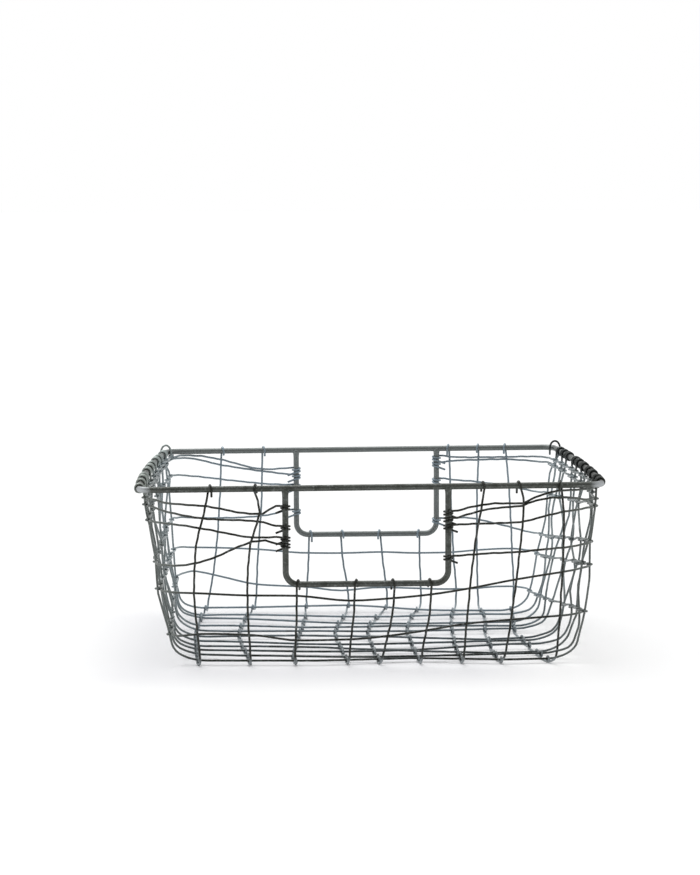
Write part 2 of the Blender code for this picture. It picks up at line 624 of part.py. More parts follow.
def wire(name, points, across, material, closed=False):
    """A thin wire whose flats, not its edges, face the wires that it crosses."""
    corner_radius = WIRE_RADIUS / math.cos(math.pi / WIRE_SIDES)
    return sweep(name, points, [corner_radius] * len(points), across, WIRE_SIDES, material, closed)


def least_self_gap(points):
    """Least clear space between stretches of one wire that are not next to each other."""
    fine = []
    for start, end in zip(points, points[1:]):
        fine += [start.lerp(end, i / PROBES_PER_STEP) for i in range(PROBES_PER_STEP)]
    fine = np.array(fine)
    travel = np.concatenate(([0], np.cumsum(np.linalg.norm(np.diff(fine, axis=0), axis=1))))
    apart = np.linalg.norm(fine[:, None] - fine[None], axis=2)
    apart[np.abs(travel[:, None] - travel[None]) < math.pi * CLASP_RADIUS] = np.inf
    return float(apart.min()) - WIRE_DIAMETER


def metal(name, colour, roughness):
    material = bpy.data.materials.new(name)
    material.use_nodes = True
    shader = material.node_tree.nodes["Principled BSDF"]
    shader.inputs["Base Color"].default_value = (*colour, 1)
    shader.inputs["Metallic"].default_value = METALLIC_SHARE
    shader.inputs["Roughness"].default_value = roughness
    material.diffuse_color = (*colour, 1)
    return material


def build():
    for old in list(bpy.data.objects):
        bpy.data.objects.remove(old, do_unlink=True)
    rod = metal("dull_grey_rod", ROD_COLOUR, ROD_ROUGHNESS)
    thin = metal("dull_grey_wire", WIRE_COLOUR, WIRE_ROUGHNESS)
    rim = rim_points()
    sweep("rim_frame", rim, [ROD_RADIUS] * len(rim), Z_AXIS, ROD_SIDES, rod, closed=True)
    for end, name in enumerate(("front_handle", "back_handle")):
        points, radii = zip(*handle_points(end))
        sweep(name, points, radii, Y_AXIS, ROD_SIDES, rod)
    for number in range(len(DEPTH_WIRE_SHARES)):
        wire(f"depth_wire_{number + 1}", depth_wire_points(number), X_AXIS, thin)
    for number in range(len(LENGTH_WIRE_SHARES)):
        wire(f"length_wire_{number + 1}", length_wire_points(number), Y_AXIS, thin)
    for side, word in ((-1, "left"), (1, "right")):
        for number, points in enumerate(end_hoop_points(side)):
            wire(f"{word}_hoop_{number + 1}", points, Z_AXIS, thin)
            print(f"{word}_hoop_{number + 1}: least gap to itself {least_self_gap(points):.5f} m")
    for number, word in enumerate(("upper", "lower")):
        wire(f"full_hoop_{word}", full_hoop_points(number), Z_AXIS, thin, closed=True)


build()
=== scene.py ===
"""Looks of the wire mesh basket: every rod and wire rebuilt round and hand-bent over its plain solid.

The routes are the solids' own, dented on the side walls and the floor. Hoops and depth wires turn once
round the length wires that they cross, and the length wires are wound round the side rails.
"""
import math

import bpy
import numpy as np
from mathutils import Matrix, Vector
from mathutils.kdtree import KDTree


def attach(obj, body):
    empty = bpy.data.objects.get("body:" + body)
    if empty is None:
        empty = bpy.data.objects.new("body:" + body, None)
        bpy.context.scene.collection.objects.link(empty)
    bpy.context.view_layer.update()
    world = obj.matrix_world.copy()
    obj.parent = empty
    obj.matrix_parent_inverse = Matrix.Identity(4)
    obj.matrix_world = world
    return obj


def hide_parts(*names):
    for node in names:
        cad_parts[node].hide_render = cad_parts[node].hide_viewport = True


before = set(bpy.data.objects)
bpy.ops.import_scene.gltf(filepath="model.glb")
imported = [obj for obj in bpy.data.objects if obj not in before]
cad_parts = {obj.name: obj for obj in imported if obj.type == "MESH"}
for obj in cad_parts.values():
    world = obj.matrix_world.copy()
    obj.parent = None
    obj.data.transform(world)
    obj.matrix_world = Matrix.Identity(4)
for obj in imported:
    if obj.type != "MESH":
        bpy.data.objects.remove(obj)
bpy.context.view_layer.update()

# Rim of thick rod, measured over the rods. The front is to -Y, and each pair of sizes is front, then back.
RIM_LENGTHS = (0.400, 0.380)
RIM_DEPTH = 0.300
RIM_TOP = 0.1593
RIM_CORNER_RADIUS = 0.010
SIDE_RAIL_BOW = 0.005
ROD_DIAMETER = 0.005

# Handles, measured between the middles of the rods, and their offset to the right
HANDLE_WIDTHS = (0.139, 0.1364)
HANDLE_OFFSETS = (-0.0037, 0.0058)
HANDLE_DROP = 0.083
HANDLE_CORNER_RADIUS = 0.011

# Where straight lines down from the middles of the rim's rods meet the floor, which bound the mesh, and
# how far inside them the side walls' hoops would reach it
FLOOR_LEFT = (0.172, 0.178)
FLOOR_RIGHT = (0.184, 0.166)
FLOOR_REACHES = (0.136, 0.129)
FOOT_INSET_LEFT = (0.0075, 0.0060)
FOOT_INSET_RIGHT = (0.0080, 0.0145)

# How far the walls bulge outward midway
SIDE_WALL_BULGE = 0.0037
END_WALL_BULGES = (0.005, 0.008)

# Bends between the walls and the floor, and round the hoops' corners
SIDE_BEND_RISE = 0.018
SIDE_BEND_RUN = 0.024
END_BEND_RISE = 0.012
END_BEND_RUN = 0.012
HOOP_CORNER_RADIUS = 0.016

# Thin wire, and the clearance where two pieces touch
WIRE_DIAMETER = 0.0016
CONTACT_GAP = 0.0003

# Hooks over the rods: the height over which a wire comes over to its hook, how far the stub hangs down and
# leans along the rod, and the straight stretch under one hook. The rearmost length wire has looser hooks.
HOOK_BLEND = 0.010
HOOK_STUB = 0.006
HOOK_LEAN = 0.0025
HOOK_LEAD = 0.012
LOOSE_HOOK_BLEND = 0.024
LOOSE_HOOK_EASE = 0.0011
LOOSE_HOOK_RISE = 0.0024

# Turns of the hoops' ends round the handle uprights, the space between them, the way over which a hoop
# comes from its wall to the rod, and how far its cut end stands off and drops
WRAP_TURNS = 1.5
WRAP_SPACE = 0.0010
WRAP_APPROACH = 0.008
WRAP_TAIL = 0.008
WRAP_TAIL_DROP = 0.003
WRAP_APPROACH_SHARES = (1 / 3, 2 / 3, 1)

# Points along the rods and wires, and facets round them
ROD_SIDES = 32
WIRE_SIDES = 12
ARC_STEPS = 10
BEND_STEPS = 8
BLEND_STEPS = 4
DEPTH_WALL_STEPS = 14
LENGTH_WALL_STEPS = 20
FLOOR_STEPS = 30
HANDLE_CORNER_STEPS = 12
RIM_CORNER_STEPS = 7
HOOP_CORNER_STEPS = 6
HOOP_END_STEPS = 30
SIDE_STEPS = 18
WRAP_STEPS = 16
PROBE_STEPS = 81

# Turns of one wire round another: the radius from middle to middle, how far a turn moves to either side
# along the other wire, the steps of a turn, the least way between two turns, how far apart two wires can
# pass and still be turned, and the way over which a wire comes up to its first turn and leaves its last
TURN_RADIUS = 0.00184
TURN_SHIFT = 0.00092
TURN_STEPS = 14
TURN_ROOM = 0.0046
TURN_REACH = 0.0065
TURN_APPROACH = 0.008

# The real wires touch where the solids keep a clearance, so each rod and wire is this much thicker all round
SKIN = 0.00017
# The rim sits a little askew: its rise to the right for each metre across, which fades down to the floor
RIM_SKEW = 0.0056

# Points along a hand-bent path are about this far apart, and no closer than this
SAMPLE_STEP = 0.0012
LEAST_STEP = SAMPLE_STEP / 4

# Hand-bent wobble of the thin wires: how far, over what lengths, and how far the hooks are kept free of it
WOBBLE_REACH = 0.00028
WOBBLE_LENGTHS = (0.011, 0.019, 0.043)
WOBBLE_FREE = 0.020

# Dents of the side walls and the floor, wire by wire: how far a length wire and a hoop stray in and out of
# a side wall, how far a length wire strays along the wall, along the floor and up from the floor, and how
# far apart the kinks are
WALL_DENT = 0.0034
HOOP_DENT = 0.0022
WALL_STRAY = 0.0040
FLOOR_STRAY = 0.0080
FLOOR_RISE = 0.0024
WALL_KINK_STEP = 0.031
FLOOR_KINK_STEP = 0.083

# Spans over which the dents fade: down to the floor and up to the rim on a side wall, toward the front and
# the back along a hoop, and up from the floor
DENT_FOOT = (0.012, 0.034)
DENT_TOP = (0.128, 0.148)
DENT_ENDS = (0.100, 0.125)
FLOOR_EDGE = (0.004, 0.010)

# Seeds that keep the dents and the wobble of different wires and directions apart
WALL_STRAY_SEED = 31
FLOOR_STRAY_SEED = 57
FLOOR_RISE_SEED = 83
HOOP_DENT_SEED = 101
DEPTH_WIRE_SEED = 20
HOOP_SEED = 40
HOOP_SIDE_SEED = 4

# Numbers that scatter the kinks without a pattern, kink by kink and seed by seed, and that shift the waves
# of the wobble, in radians, seed by seed and wave by wave
KINK_SPIN = 12.9898
SEED_SPIN = 78.233
SCATTER_SPREAD = 43758.5453
SEED_PHASE = 2.399
WAVE_PHASE = 1.7

# Turns of the length wires round the left rail, from the back to the front: how many, and the pitch of
# each. The right rail takes them from the front to the back, and the rearmost wire has hooks instead.
COIL_TURNS = (2.75, 1.8, 2.65, 1.9, 2.7, 2.6, 1.85, 2.75, 1.7, 2.65)
COIL_PITCHES = (0.0044, -0.0050, 0.0040, -0.0046, 0.0044, 0.0040, -0.0054, 0.0042, 0.0048, -0.0022)
COIL_STEPS = 20

# Hooks cut by hand: stub lengths as shares of the plain one, taken in turn, and the places among them of
# the first depth wire's front stub and back stub
STUB_SHARES = (0.75, 0.55, 1.0, 0.65, 0.85, 0.5, 0.9, 0.6, 0.8, 1.1, 0.55)
STUB_SHIFTS = (2, 7)

# Fillet of the weld under the rim: how wide it gets, how far down it runs, and its width as a share at
# shares of the way down
FILLET_RADIUS = 0.0034
FILLET_LENGTH = 0.0042
FILLET_SHARES = ((0, 1), (0.25, 0.55), (0.5, 0.25), (0.75, 0.08), (1, 0))

# Cut ends of the wires: shares of the radius for the rings that round them, and how far they stand out
END_RING_SHARES = (0.9, 0.6)
END_ROUND_SHARE = 0.7

# Patina, in metres: the width of the stains, and the width and depth of the grain. The real grain is
# finer, and is drawn this coarse so that it shows.
STAIN_SIZE = 0.010
GRAIN_SIZE = 0.0020
GRAIN_DEPTH = 0.00005
# How many finer patterns the stains and the grain hold, and how strongly the grain stands out
STAIN_DETAIL = 4
GRAIN_DETAIL = 3
GRAIN_STRENGTH = 0.35
# The values of its pattern at which a stain or a rubbed speck starts and is full, and its full share
STAIN_RISE = (0.48, 0.62, 0.9)
SPECK_RISE = (0.55, 0.72, 0.6)
# The patina leaves the steel only partly metallic. Its roughness goes from a little under the plain one to
# a little over it between two values of the stains' pattern.
METALLIC = 0.75
ROD_ROUGHNESS = 0.40
WIRE_ROUGHNESS = 0.34
ROUGHNESS_RISE = (0.3, 0.7)
SMOOTHER = 0.08
ROUGHER = 0.12
# Tones of the steel: at the front, at the back, in the stains and in the rubbed specks. The darker front
# tone is painted shade and the lighter, bluer back tone is painted light; the stains and specks are the
# patina's own.
ROD_TONES = ("#525551", "#757a79", "#40433e", "#858a8a")
WIRE_TONES = ("#31322d", "#86949d", "#20211c", "#858b8c")
# Places painted lighter or darker along a direction: the direction to follow, how far along it the change
# starts and is full, how much of it there is, and its tone. Painted shade on the rods between the coils of
# the side rails, painted highlights on the rim's front corners and a little on the side walls, a painted
# highlight on the coils of the left rail and painted shade on those of the right one, and painted
# highlights on the depth wires near the floor, where the basket stands on them.
# Painted shade on the rods between the coils of the side rails
PAINTED_COIL_SHADE = (0.192, 0.197, 0.85, "#31332f")
# Painted highlight on the rim's front corners
PAINTED_CORNER_HIGHLIGHT = (0.337, 0.344, 0.9, "#c6cacd")
# The rods' painted shade between the coils and painted highlights on the front corners
ROD_PAINTED_LIGHT = (((-1, 0, 0), *PAINTED_COIL_SHADE), ((1, 0, 0), *PAINTED_COIL_SHADE), ((-1, -1, 0), *PAINTED_CORNER_HIGHLIGHT),
            ((1, -1, 0), *PAINTED_CORNER_HIGHLIGHT))
# Painted highlights on the wires of the side walls
WALL_PAINTED_HIGHLIGHT = (((-1, 0, 0), 0.150, 0.172, 0.33, "#a2a9a5"), ((1, 0, 0), 0.152, 0.176, 0.28, "#a2a9a5"))
# The side walls' painted highlights, a painted highlight on the coils of the left rail and painted shade on
# those of the right one
COIL_PAINTED_LIGHT = (*WALL_PAINTED_HIGHLIGHT, ((-0.05, 0, 1), 0.149, 0.170, 0.48, "#a3aaa2"),
             ((0.05, 0, 1), 0.154, 0.167, 0.90, "#20221f"))
# Painted highlight on the depth wires near the floor
FOOT_PAINTED_HIGHLIGHT = (((0, 0, -1), -0.009, -0.003, 0.75, "#a9b0b3"),)

# White paper floor: its tone, the greyer tone of a painted shadow round the feet with its middle, its reach
# and the way over which it fades, how much the camera sees the floor lifted to white, and the floor's size
PAPER = "#f2f2f2"
SHADED_PAPER = "#e8e8ea"
SHADE_MIDDLE = (-0.056, -0.030, 0)
SHADE_REACH = (0.133, 0.128, 0)
SHADE_FADE = 0.095
FLOOR_LIFT = 0.04
FLOOR_SIZE = 60.0
# Even white room, dimmer on the camera's side between two values of a direction's Y and plain white where
# the camera sees it, and a soft sun
ROOM_WHITE = "#ffffff"
ROOM_LIGHT = 0.95
CAMERA_SIDE_LIGHT = 0.15
CAMERA_SIDE = (-1, -0.35)
SEEN_LIGHT = 1.0
SUN_LIGHT = 1.15
SUN_ANGLE = math.radians(50)
SUN_TILT = (math.radians(-26), math.radians(-14), 0.0)

# Camera, as measured from the photograph: metres, radians, and millimetres for the lens and its sensor
CAMERA_PLACE = Vector((-0.07286, -2.20459, 0.41691))
CAMERA_PITCH = 0.10521
CAMERA_YAW = -0.02671
CAMERA_ROLL = -0.00334
FOCAL_LENGTH = 100.22
SENSOR_LONG_SIDE = 36
NEAREST_SEEN = 0.05

# Small proportions: how round a bend is, the step over which a wall's slope is read, and the share of a
# stretch's length in Z from which it counts as upright
ROUNDNESS_SHARE = 0.55
SLOPE_STEP_SHARE = 0.01
UPRIGHT_SHARE = 0.9

# Depth wires: where each lies across the basket, as shares from the left side to the right.
# A route runs from 0 at the front rail to 1 at the floor's front, 2 at its back and 3 at the back rail.
DEPTH_ROUTE_SHARES = (0, 0.1, 0.33, 0.65, 0.94, 1.07, 1.5, 1.93, 2.06, 2.35, 2.67, 3)
DEPTH_WIRE_SHARES = (
    (0.150, 0.137, 0.103, 0.081, 0.074, 0.064, 0.054, 0.070, 0.086, 0.113, 0.129, 0.140),
    (0.247, 0.255, 0.223, 0.203, 0.195, 0.190, 0.169, 0.197, 0.219, 0.229, 0.241, 0.246),
    (0.330, 0.329, 0.326, 0.317, 0.303, 0.300, 0.324, 0.357, 0.361, 0.368, 0.371, 0.372),
    (0.460, 0.460, 0.458, 0.450, 0.433, 0.428, 0.420, 0.466, 0.479, 0.460, 0.450, 0.446),
    (0.550, 0.550, 0.548, 0.541, 0.514, 0.505, 0.506, 0.563, 0.587, 0.569, 0.555, 0.548),
    (0.633, 0.633, 0.631, 0.627, 0.608, 0.606, 0.609, 0.656, 0.682, 0.672, 0.667, 0.664),
    (0.745, 0.740, 0.726, 0.715, 0.709, 0.708, 0.727, 0.764, 0.781, 0.765, 0.748, 0.731),
    (0.822, 0.832, 0.828, 0.819, 0.808, 0.798, 0.814, 0.848, 0.843, 0.830, 0.818, 0.808),
    (0.912, 0.918, 0.925, 0.929, 0.932, 0.910, 0.895, 0.932, 0.942, 0.927, 0.906, 0.878),
)
# These depth wires hang on the handles' bars, counted from 0; the others hang on the rails
BAR_WIRES = (2, 3, 4, 5)
# These come up inside the front rail and hook outward, the last one from behind its two top hoops; the
# others come up outside and hook inward
OUTWARD_HOOK_LEADS = {0: 0, 8: HOOK_LEAD}

# Length wires: where each lies along the depth, as shares from the front to the back.
# A route runs from 0 at the left rail to 1 and 2 at the floor's ends and 3 at the right rail.
LENGTH_ROUTE_SHARES = (0, 0.18, 0.39, 0.57, 0.8, 1.1, 1.5, 1.9, 2.2, 2.43, 2.61, 2.82, 3)
LENGTH_WIRE_SHARES = (
    (0.968, 0.970, 0.973, 0.976, 0.980, 0.988, 0.994, 0.950, 0.942, 0.944, 0.948, 0.955, 0.962),
    (0.885, 0.888, 0.862, 0.878, 0.866, 0.866, 0.810, 0.817, 0.800, 0.858, 0.842, 0.880, 0.880),
    (0.800, 0.778, 0.812, 0.788, 0.812, 0.795, 0.709, 0.700, 0.752, 0.730, 0.806, 0.758, 0.790),
    (0.705, 0.728, 0.690, 0.724, 0.690, 0.690, 0.634, 0.620, 0.618, 0.692, 0.650, 0.722, 0.712),
    (0.620, 0.590, 0.632, 0.586, 0.618, 0.593, 0.541, 0.537, 0.578, 0.540, 0.614, 0.575, 0.608),
    (0.520, 0.535, 0.488, 0.520, 0.462, 0.474, 0.429, 0.390, 0.400, 0.500, 0.450, 0.538, 0.520),
    (0.430, 0.400, 0.430, 0.375, 0.392, 0.366, 0.306, 0.345, 0.366, 0.338, 0.412, 0.385, 0.425),
    (0.330, 0.350, 0.308, 0.328, 0.284, 0.295, 0.216, 0.257, 0.245, 0.303, 0.264, 0.345, 0.338),
    (0.242, 0.220, 0.250, 0.210, 0.236, 0.209, 0.157, 0.165, 0.205, 0.170, 0.230, 0.200, 0.235),
    (0.150, 0.168, 0.140, 0.168, 0.148, 0.150, 0.090, 0.100, 0.095, 0.135, 0.112, 0.162, 0.145),
    (0.060, 0.058, 0.064, 0.055, 0.054, 0.049, 0.040, 0.045, 0.045, 0.050, 0.060, 0.048, 0.055),
)
# This one hangs on the side rails by its looser hooks; the others are wound round them
LOOSE_HOOK_WIRES = (0,)

# Hoops: how high each lies, as shares from the top of the floor bend to the rim, at places round the
# basket. A place counts 0 at the front left corner, 1 front right, 2 back right and 3 back left. The left
# and right hoops also have a first and a last height, at the uprights that they are wound round.
CORNERS = 4
# The handles' bars lie at this share
BAR_HEIGHT_SHARE = 0.403
LEFT_PLACE_SHARES = (-1.25, -1.13, -1.05, -1, -0.5, 0, 0.05, 0.12, 0.24, 0.26)
LEFT_HOOP_SHARES = (
    (0.875, 0.866, 0.938, 0.972, 0.972, 0.955, 0.940, 0.915, 0.900, 0.845, 0.845, 0.894),
    (0.829, 0.850, 0.900, 0.949, 0.955, 0.920, 0.890, 0.860, 0.820, 0.800, 0.790, 0.770),
    (0.756, 0.764, 0.800, 0.825, 0.836, 0.815, 0.800, 0.788, 0.757, 0.698, 0.699, 0.699),
    (0.580, 0.540, 0.526, 0.530, 0.537, 0.526, 0.530, 0.527, 0.561, 0.678, 0.680, 0.690),
)
RIGHT_PLACE_SHARES = (0.735, 0.787, 0.83, 0.875, 0.92, 1, 1.5, 2, 2.11, 2.185, 2.265)
RIGHT_HOOP_SHARES = (
    (0.850, 0.881, 0.893, 0.889, 0.938, 0.967, 0.972, 0.955, 0.936, 0.935, 0.934, 0.942, 0.947),
    (0.810, 0.843, 0.867, 0.873, 0.913, 0.927, 0.906, 0.910, 0.900, 0.918, 0.917, 0.908, 0.904),
    (0.764, 0.769, 0.771, 0.774, 0.803, 0.832, 0.857, 0.771, 0.692, 0.738, 0.764, 0.785, 0.790),
    (0.572, 0.580, 0.586, 0.591, 0.602, 0.612, 0.634, 0.519, 0.411, 0.468, 0.508, 0.522, 0.509),
)
FULL_PLACE_SHARES = (0, 0.085, 0.2, 0.31, 0.445, 0.53, 0.625, 0.717, 0.817, 0.93, 1, 1.5, 2,
                     2.067, 2.167, 2.23, 2.326, 2.425, 2.533, 2.632, 2.773, 2.892, 2.96, 3, 3.5)
FULL_HOOP_SHARES = (
    (0.361, 0.352, 0.335, 0.330, 0.295, 0.306, 0.328, 0.364, 0.414, 0.461, 0.486, 0.375, 0.281,
     0.288, 0.277, 0.265, 0.263, 0.272, 0.267, 0.270, 0.299, 0.313, 0.317, 0.324, 0.335),
    (0.072, 0.090, 0.079, 0.041, 0.047, 0.067, 0.101, 0.140, 0.162, 0.184, 0.195, 0.101, 0.029,
     0.029, 0.014, 0.014, 0.022, 0.029, 0.010, 0.036, 0.056, 0.120, 0.152, 0.143, 0.094),
)
# Where the handles' uprights stand across the basket in the tables above, front and back
UPRIGHT_PLACE_SHARES = ((0.315, 0.667), (0.334, 0.697))

# Worked out from the sizes above: heights and reaches of the rods' middles, and from middle to middle the
# steps from a wire to the next layer of wires and from a rod to a wire that clasps it
ROD_RADIUS = ROD_DIAMETER / 2
WIRE_RADIUS = WIRE_DIAMETER / 2
RIM_HEIGHT = RIM_TOP - ROD_RADIUS
BAR_HEIGHT = RIM_HEIGHT - HANDLE_DROP
HALF_DEPTH = RIM_DEPTH / 2 - ROD_RADIUS
HALF_LENGTHS = tuple(length / 2 - ROD_RADIUS for length in RIM_LENGTHS)
LAYER_STEP = WIRE_DIAMETER + CONTACT_GAP
CLASP_RADIUS = ROD_RADIUS + CONTACT_GAP + WIRE_RADIUS
SIDE_INSET = CLASP_RADIUS + LAYER_STEP
WRAP_PITCH = WIRE_DIAMETER + WRAP_SPACE

X_AXIS = Vector((1, 0, 0))
Y_AXIS = Vector((0, 1, 0))
Z_AXIS = Vector((0, 0, 1))


def mix(start, end, share):
    return start + (end - start) * share


def hump(share):
    """0 at both ends of a span and 1 midway."""
    return 4 * share * (1 - share)


def ease(share):
    """A soft S from 0 to 1."""
    share = min(max(share, 0), 1)
    return share * share * (3 - 2 * share)


def round_corner(start, corner, end, share):
    """A point of a nearly circular curve from start to end, which heads for the corner at both."""
    first = mix(start, corner, ROUNDNESS_SHARE)
    second = mix(end, corner, ROUNDNESS_SHARE)
    rest = 1 - share
    return rest**3 * start + 3 * rest**2 * share * first + 3 * rest * share**2 * second + share**3 * end


def smooth_read(places, values, place):
    """Read, at one place, the smooth curve that passes through values at places and turns only there."""
    steep = np.diff(values) / np.diff(places)
    slopes = [steep[0]]
    for before, after in zip(steep, steep[1:]):
        slopes.append(2 * before * after / (before + after) if before * after > 0 else 0)
    slopes.append(steep[-1])
    i = int(np.clip(np.searchsorted(places, place) - 1, 0, len(places) - 2))
    span = places[i + 1] - places[i]
    t = float(np.clip((place - places[i]) / span, 0, 1))
    start = (2 * t**3 - 3 * t**2 + 1) * values[i] + (t**3 - 2 * t**2 + t) * span * slopes[i]
    end = (3 * t**2 - 2 * t**3) * values[i + 1] + (t**3 - t**2) * span * slopes[i + 1]
    return float(start + end)


def depth_share(y):
    """Share of the depth at which y lies, from the front rail's middle to the back one's."""
    return (y + HALF_DEPTH) / (2 * HALF_DEPTH)


def side_x(side, depth, height):
    """X of a straight left (-1) or right (+1) wall from the rail's middle down, at shares of the depth and
    of the rim's height."""
    floor = mix(*(FLOOR_LEFT if side < 0 else FLOOR_RIGHT), depth)
    rim = mix(*HALF_LENGTHS, depth) + SIDE_RAIL_BOW * hump(depth)
    return side * mix(floor, rim, height)


def side_hoop_x(side, depth, height):
    """X of the left or right wall's hoop layer, which leaves room for the length wires inside the rail."""
    foot_inset = mix(*(FOOT_INSET_LEFT if side < 0 else FOOT_INSET_RIGHT), depth)
    inset = mix(foot_inset, SIDE_INSET, height) - SIDE_WALL_BULGE * hump(height)
    return side_x(side, depth, height) - side * inset


def end_y(side, height, bulging=1.0):
    """Y of the front (-1) or back (+1) wall's hoop layer, at a share of the rim's height, with a share of
    the wall's bulge."""
    end = (side + 1) // 2
    bulge = bulging * END_WALL_BULGES[end] * hump(height)
    return side * (mix(FLOOR_REACHES[end], HALF_DEPTH, height) + bulge)


def upright_x(end, side):
    """X of a handle's upright; end is 0 for the front handle and 1 for the back one."""
    return HANDLE_OFFSETS[end] + side * HANDLE_WIDTHS[end] / 2


def across_share(end, x):
    """Share of the rim's length at which x lies, along its front (0) or back (1)."""
    left, right = side_x(-1, end, 1), side_x(1, end, 1)
    return (x - left) / (right - left)


def across_x(share, y, z):
    """X of a share across the basket; the shares move with the handles' uprights."""
    depth, height = depth_share(y), z / RIM_HEIGHT
    marks = [mix(front, back, depth) for front, back in zip(*UPRIGHT_PLACE_SHARES)]
    stands = [mix(*(across_share(end, upright_x(end, side)) for end in (0, 1)), depth) for side in (-1, 1)]
    share = float(np.interp(share, (0, *marks, 1), (0, *stands, 1)))
    return mix(side_x(-1, depth, height), side_x(1, depth, height), share)


def along_y(share, height):
    """Y of a share along the depth, at a share of the rim's height."""
    return mix(end_y(-1, height, 0), end_y(1, height, 0), share)


def bar_height(end, x):
    """Height of a handle's middle line at x, which rises at the handle's round corners."""
    flat = HANDLE_WIDTHS[end] / 2 - HANDLE_CORNER_RADIUS
    past = min(max(abs(x - HANDLE_OFFSETS[end]) - flat, 0), HANDLE_CORNER_RADIUS)
    return BAR_HEIGHT + HANDLE_CORNER_RADIUS - math.sqrt(HANDLE_CORNER_RADIUS**2 - past**2)


def route_place(floor_share, height):
    """Place on a wire's route: 0 to 1 down one wall, 1 to 2 over the floor, 2 to 3 up the other wall."""
    floor_share = min(max(floor_share, 0), 1)
    return 1 + floor_share + (height if floor_share > 0.5 else -height)


def wall_and_bend(wall, top, rise, run, rest, steps, blend=HOOK_BLEND, lead=0.0):
    """Points of one wall's outer layer and its bend, as (reach, z), from the height top down to the floor.

    wall gives the reach of the hoop layer at a share of the rim's height, and rest is the height at which
    the wire lies on the floor. It joins its hook over the height blend, and lead is the height of the
    stretch above that, already in line with the hook.
    """
    def reach_and_slope(z):
        share = z / RIM_HEIGHT
        slope = (wall(share + SLOPE_STEP_SHARE) - wall(share)) / (SLOPE_STEP_SHARE * RIM_HEIGHT)
        return wall(share) + LAYER_STEP * math.hypot(1, slope), slope

    heights = [top] if lead else []
    heights += list(np.linspace(top - lead, top - lead - blend, BLEND_STEPS + 1))
    heights += list(np.linspace(top - lead - blend, rise, steps + 1)[1:])
    points = [np.array((reach_and_slope(z)[0], z)) for z in heights]
    reach, slope = reach_and_slope(rise)
    start = points[-1]
    corner = np.array((reach - slope * (rise - rest), rest))
    end = corner - np.array((run, 0))
    for i in range(1, BEND_STEPS + 1):
        points.append(round_corner(start, corner, end, i / BEND_STEPS))
    return points


def end_profile(side, top, lead=0.0):
    """A depth wire's line down the front or back wall to the floor, as (y, z)."""
    def wall(height):
        return abs(end_y(side, height))

    line = wall_and_bend(wall, top, END_BEND_RISE, END_BEND_RUN, WIRE_RADIUS, DEPTH_WALL_STEPS, lead=lead)
    return [(side * reach, z) for reach, z in line]


def resting_height(y):
    """Height of the middle of a wire lying across the depth wires at y, on the floor or in their bends."""
    line = end_profile(-1, BAR_HEIGHT) + end_profile(1, BAR_HEIGHT)[::-1]
    ys, zs = np.array(line).T
    shifts = np.linspace(-LAYER_STEP, LAYER_STEP, PROBE_STEPS)[1:-1]
    return float(np.max(np.interp(y + shifts, ys, zs) + np.sqrt(LAYER_STEP**2 - shifts**2)))


def hook(rod_reach, rod_height, out, ease_out=0.0, rise=0.0):
    """A hook over a rod, from its stub's end to where it meets the wall, as (reach, z, share of its lean).

    out is +1 where the wire comes up outside the rod and ends inside, and -1 the other way round.
    """
    radius = CLASP_RADIUS + ease_out
    points = [(rod_reach - out * radius, rod_height - HOOK_STUB, 1)]
    for i in range(ARC_STEPS + 1):
        angle = math.pi * i / ARC_STEPS
        height = rod_height + (radius + rise) * math.sin(angle)
        points.append((rod_reach - out * radius * math.cos(angle), height, 1 - i / ARC_STEPS))
    return points


def toward_hook(reach, z, rod_reach, rod_height, out, ease_out=0.0, blend=HOOK_BLEND, lead=0.0):
    """Draw a wall point over to the side of the rod where its hook begins."""
    share = ease(1 - (rod_height - lead - z) / blend)
    return mix(reach, rod_reach + out * (CLASP_RADIUS + ease_out), share)


def depth_wire_points(number):
    """A depth wire's plain route, from its hook at the front to the one at the back."""
    shares = DEPTH_WIRE_SHARES[number]
    lean = HOOK_LEAN if shares[0] < 0.5 else -HOOK_LEAN

    def point(y, z, top=RIM_HEIGHT):
        floor_share = (y + FLOOR_REACHES[0]) / sum(FLOOR_REACHES)
        place = route_place(floor_share, min(z, top) / RIM_HEIGHT)
        return Vector((across_x(smooth_read(DEPTH_ROUTE_SHARES, shares, place), y, min(z, top)), y, z))

    halves = []
    for end, side in ((0, -1), (1, 1)):
        rod_height = RIM_HEIGHT
        if number in BAR_WIRES:
            rod_height = bar_height(end, point(side * HALF_DEPTH, BAR_HEIGHT).x)
        outward = end == 0 and number in OUTWARD_HOOK_LEADS
        out, lead = (-1, OUTWARD_HOOK_LEADS[number]) if outward else (1, 0)
        start = point(side * HALF_DEPTH, rod_height)
        half = []
        for reach, z, k in hook(HALF_DEPTH, rod_height, out):
            half.append(Vector((start.x + lean * k, side * reach, z)))
        for y, z in end_profile(side, rod_height, lead)[1:]:
            reach = toward_hook(abs(y), z, HALF_DEPTH, rod_height, out, lead=lead)
            half.append(point(side * reach, z))
        halves.append(half)
    front, back = halves
    ys = np.linspace(front[-1].y, back[-1].y, FLOOR_STEPS + 1)[1:-1]
    return front + [point(y, WIRE_RADIUS) for y in ys] + back[::-1]


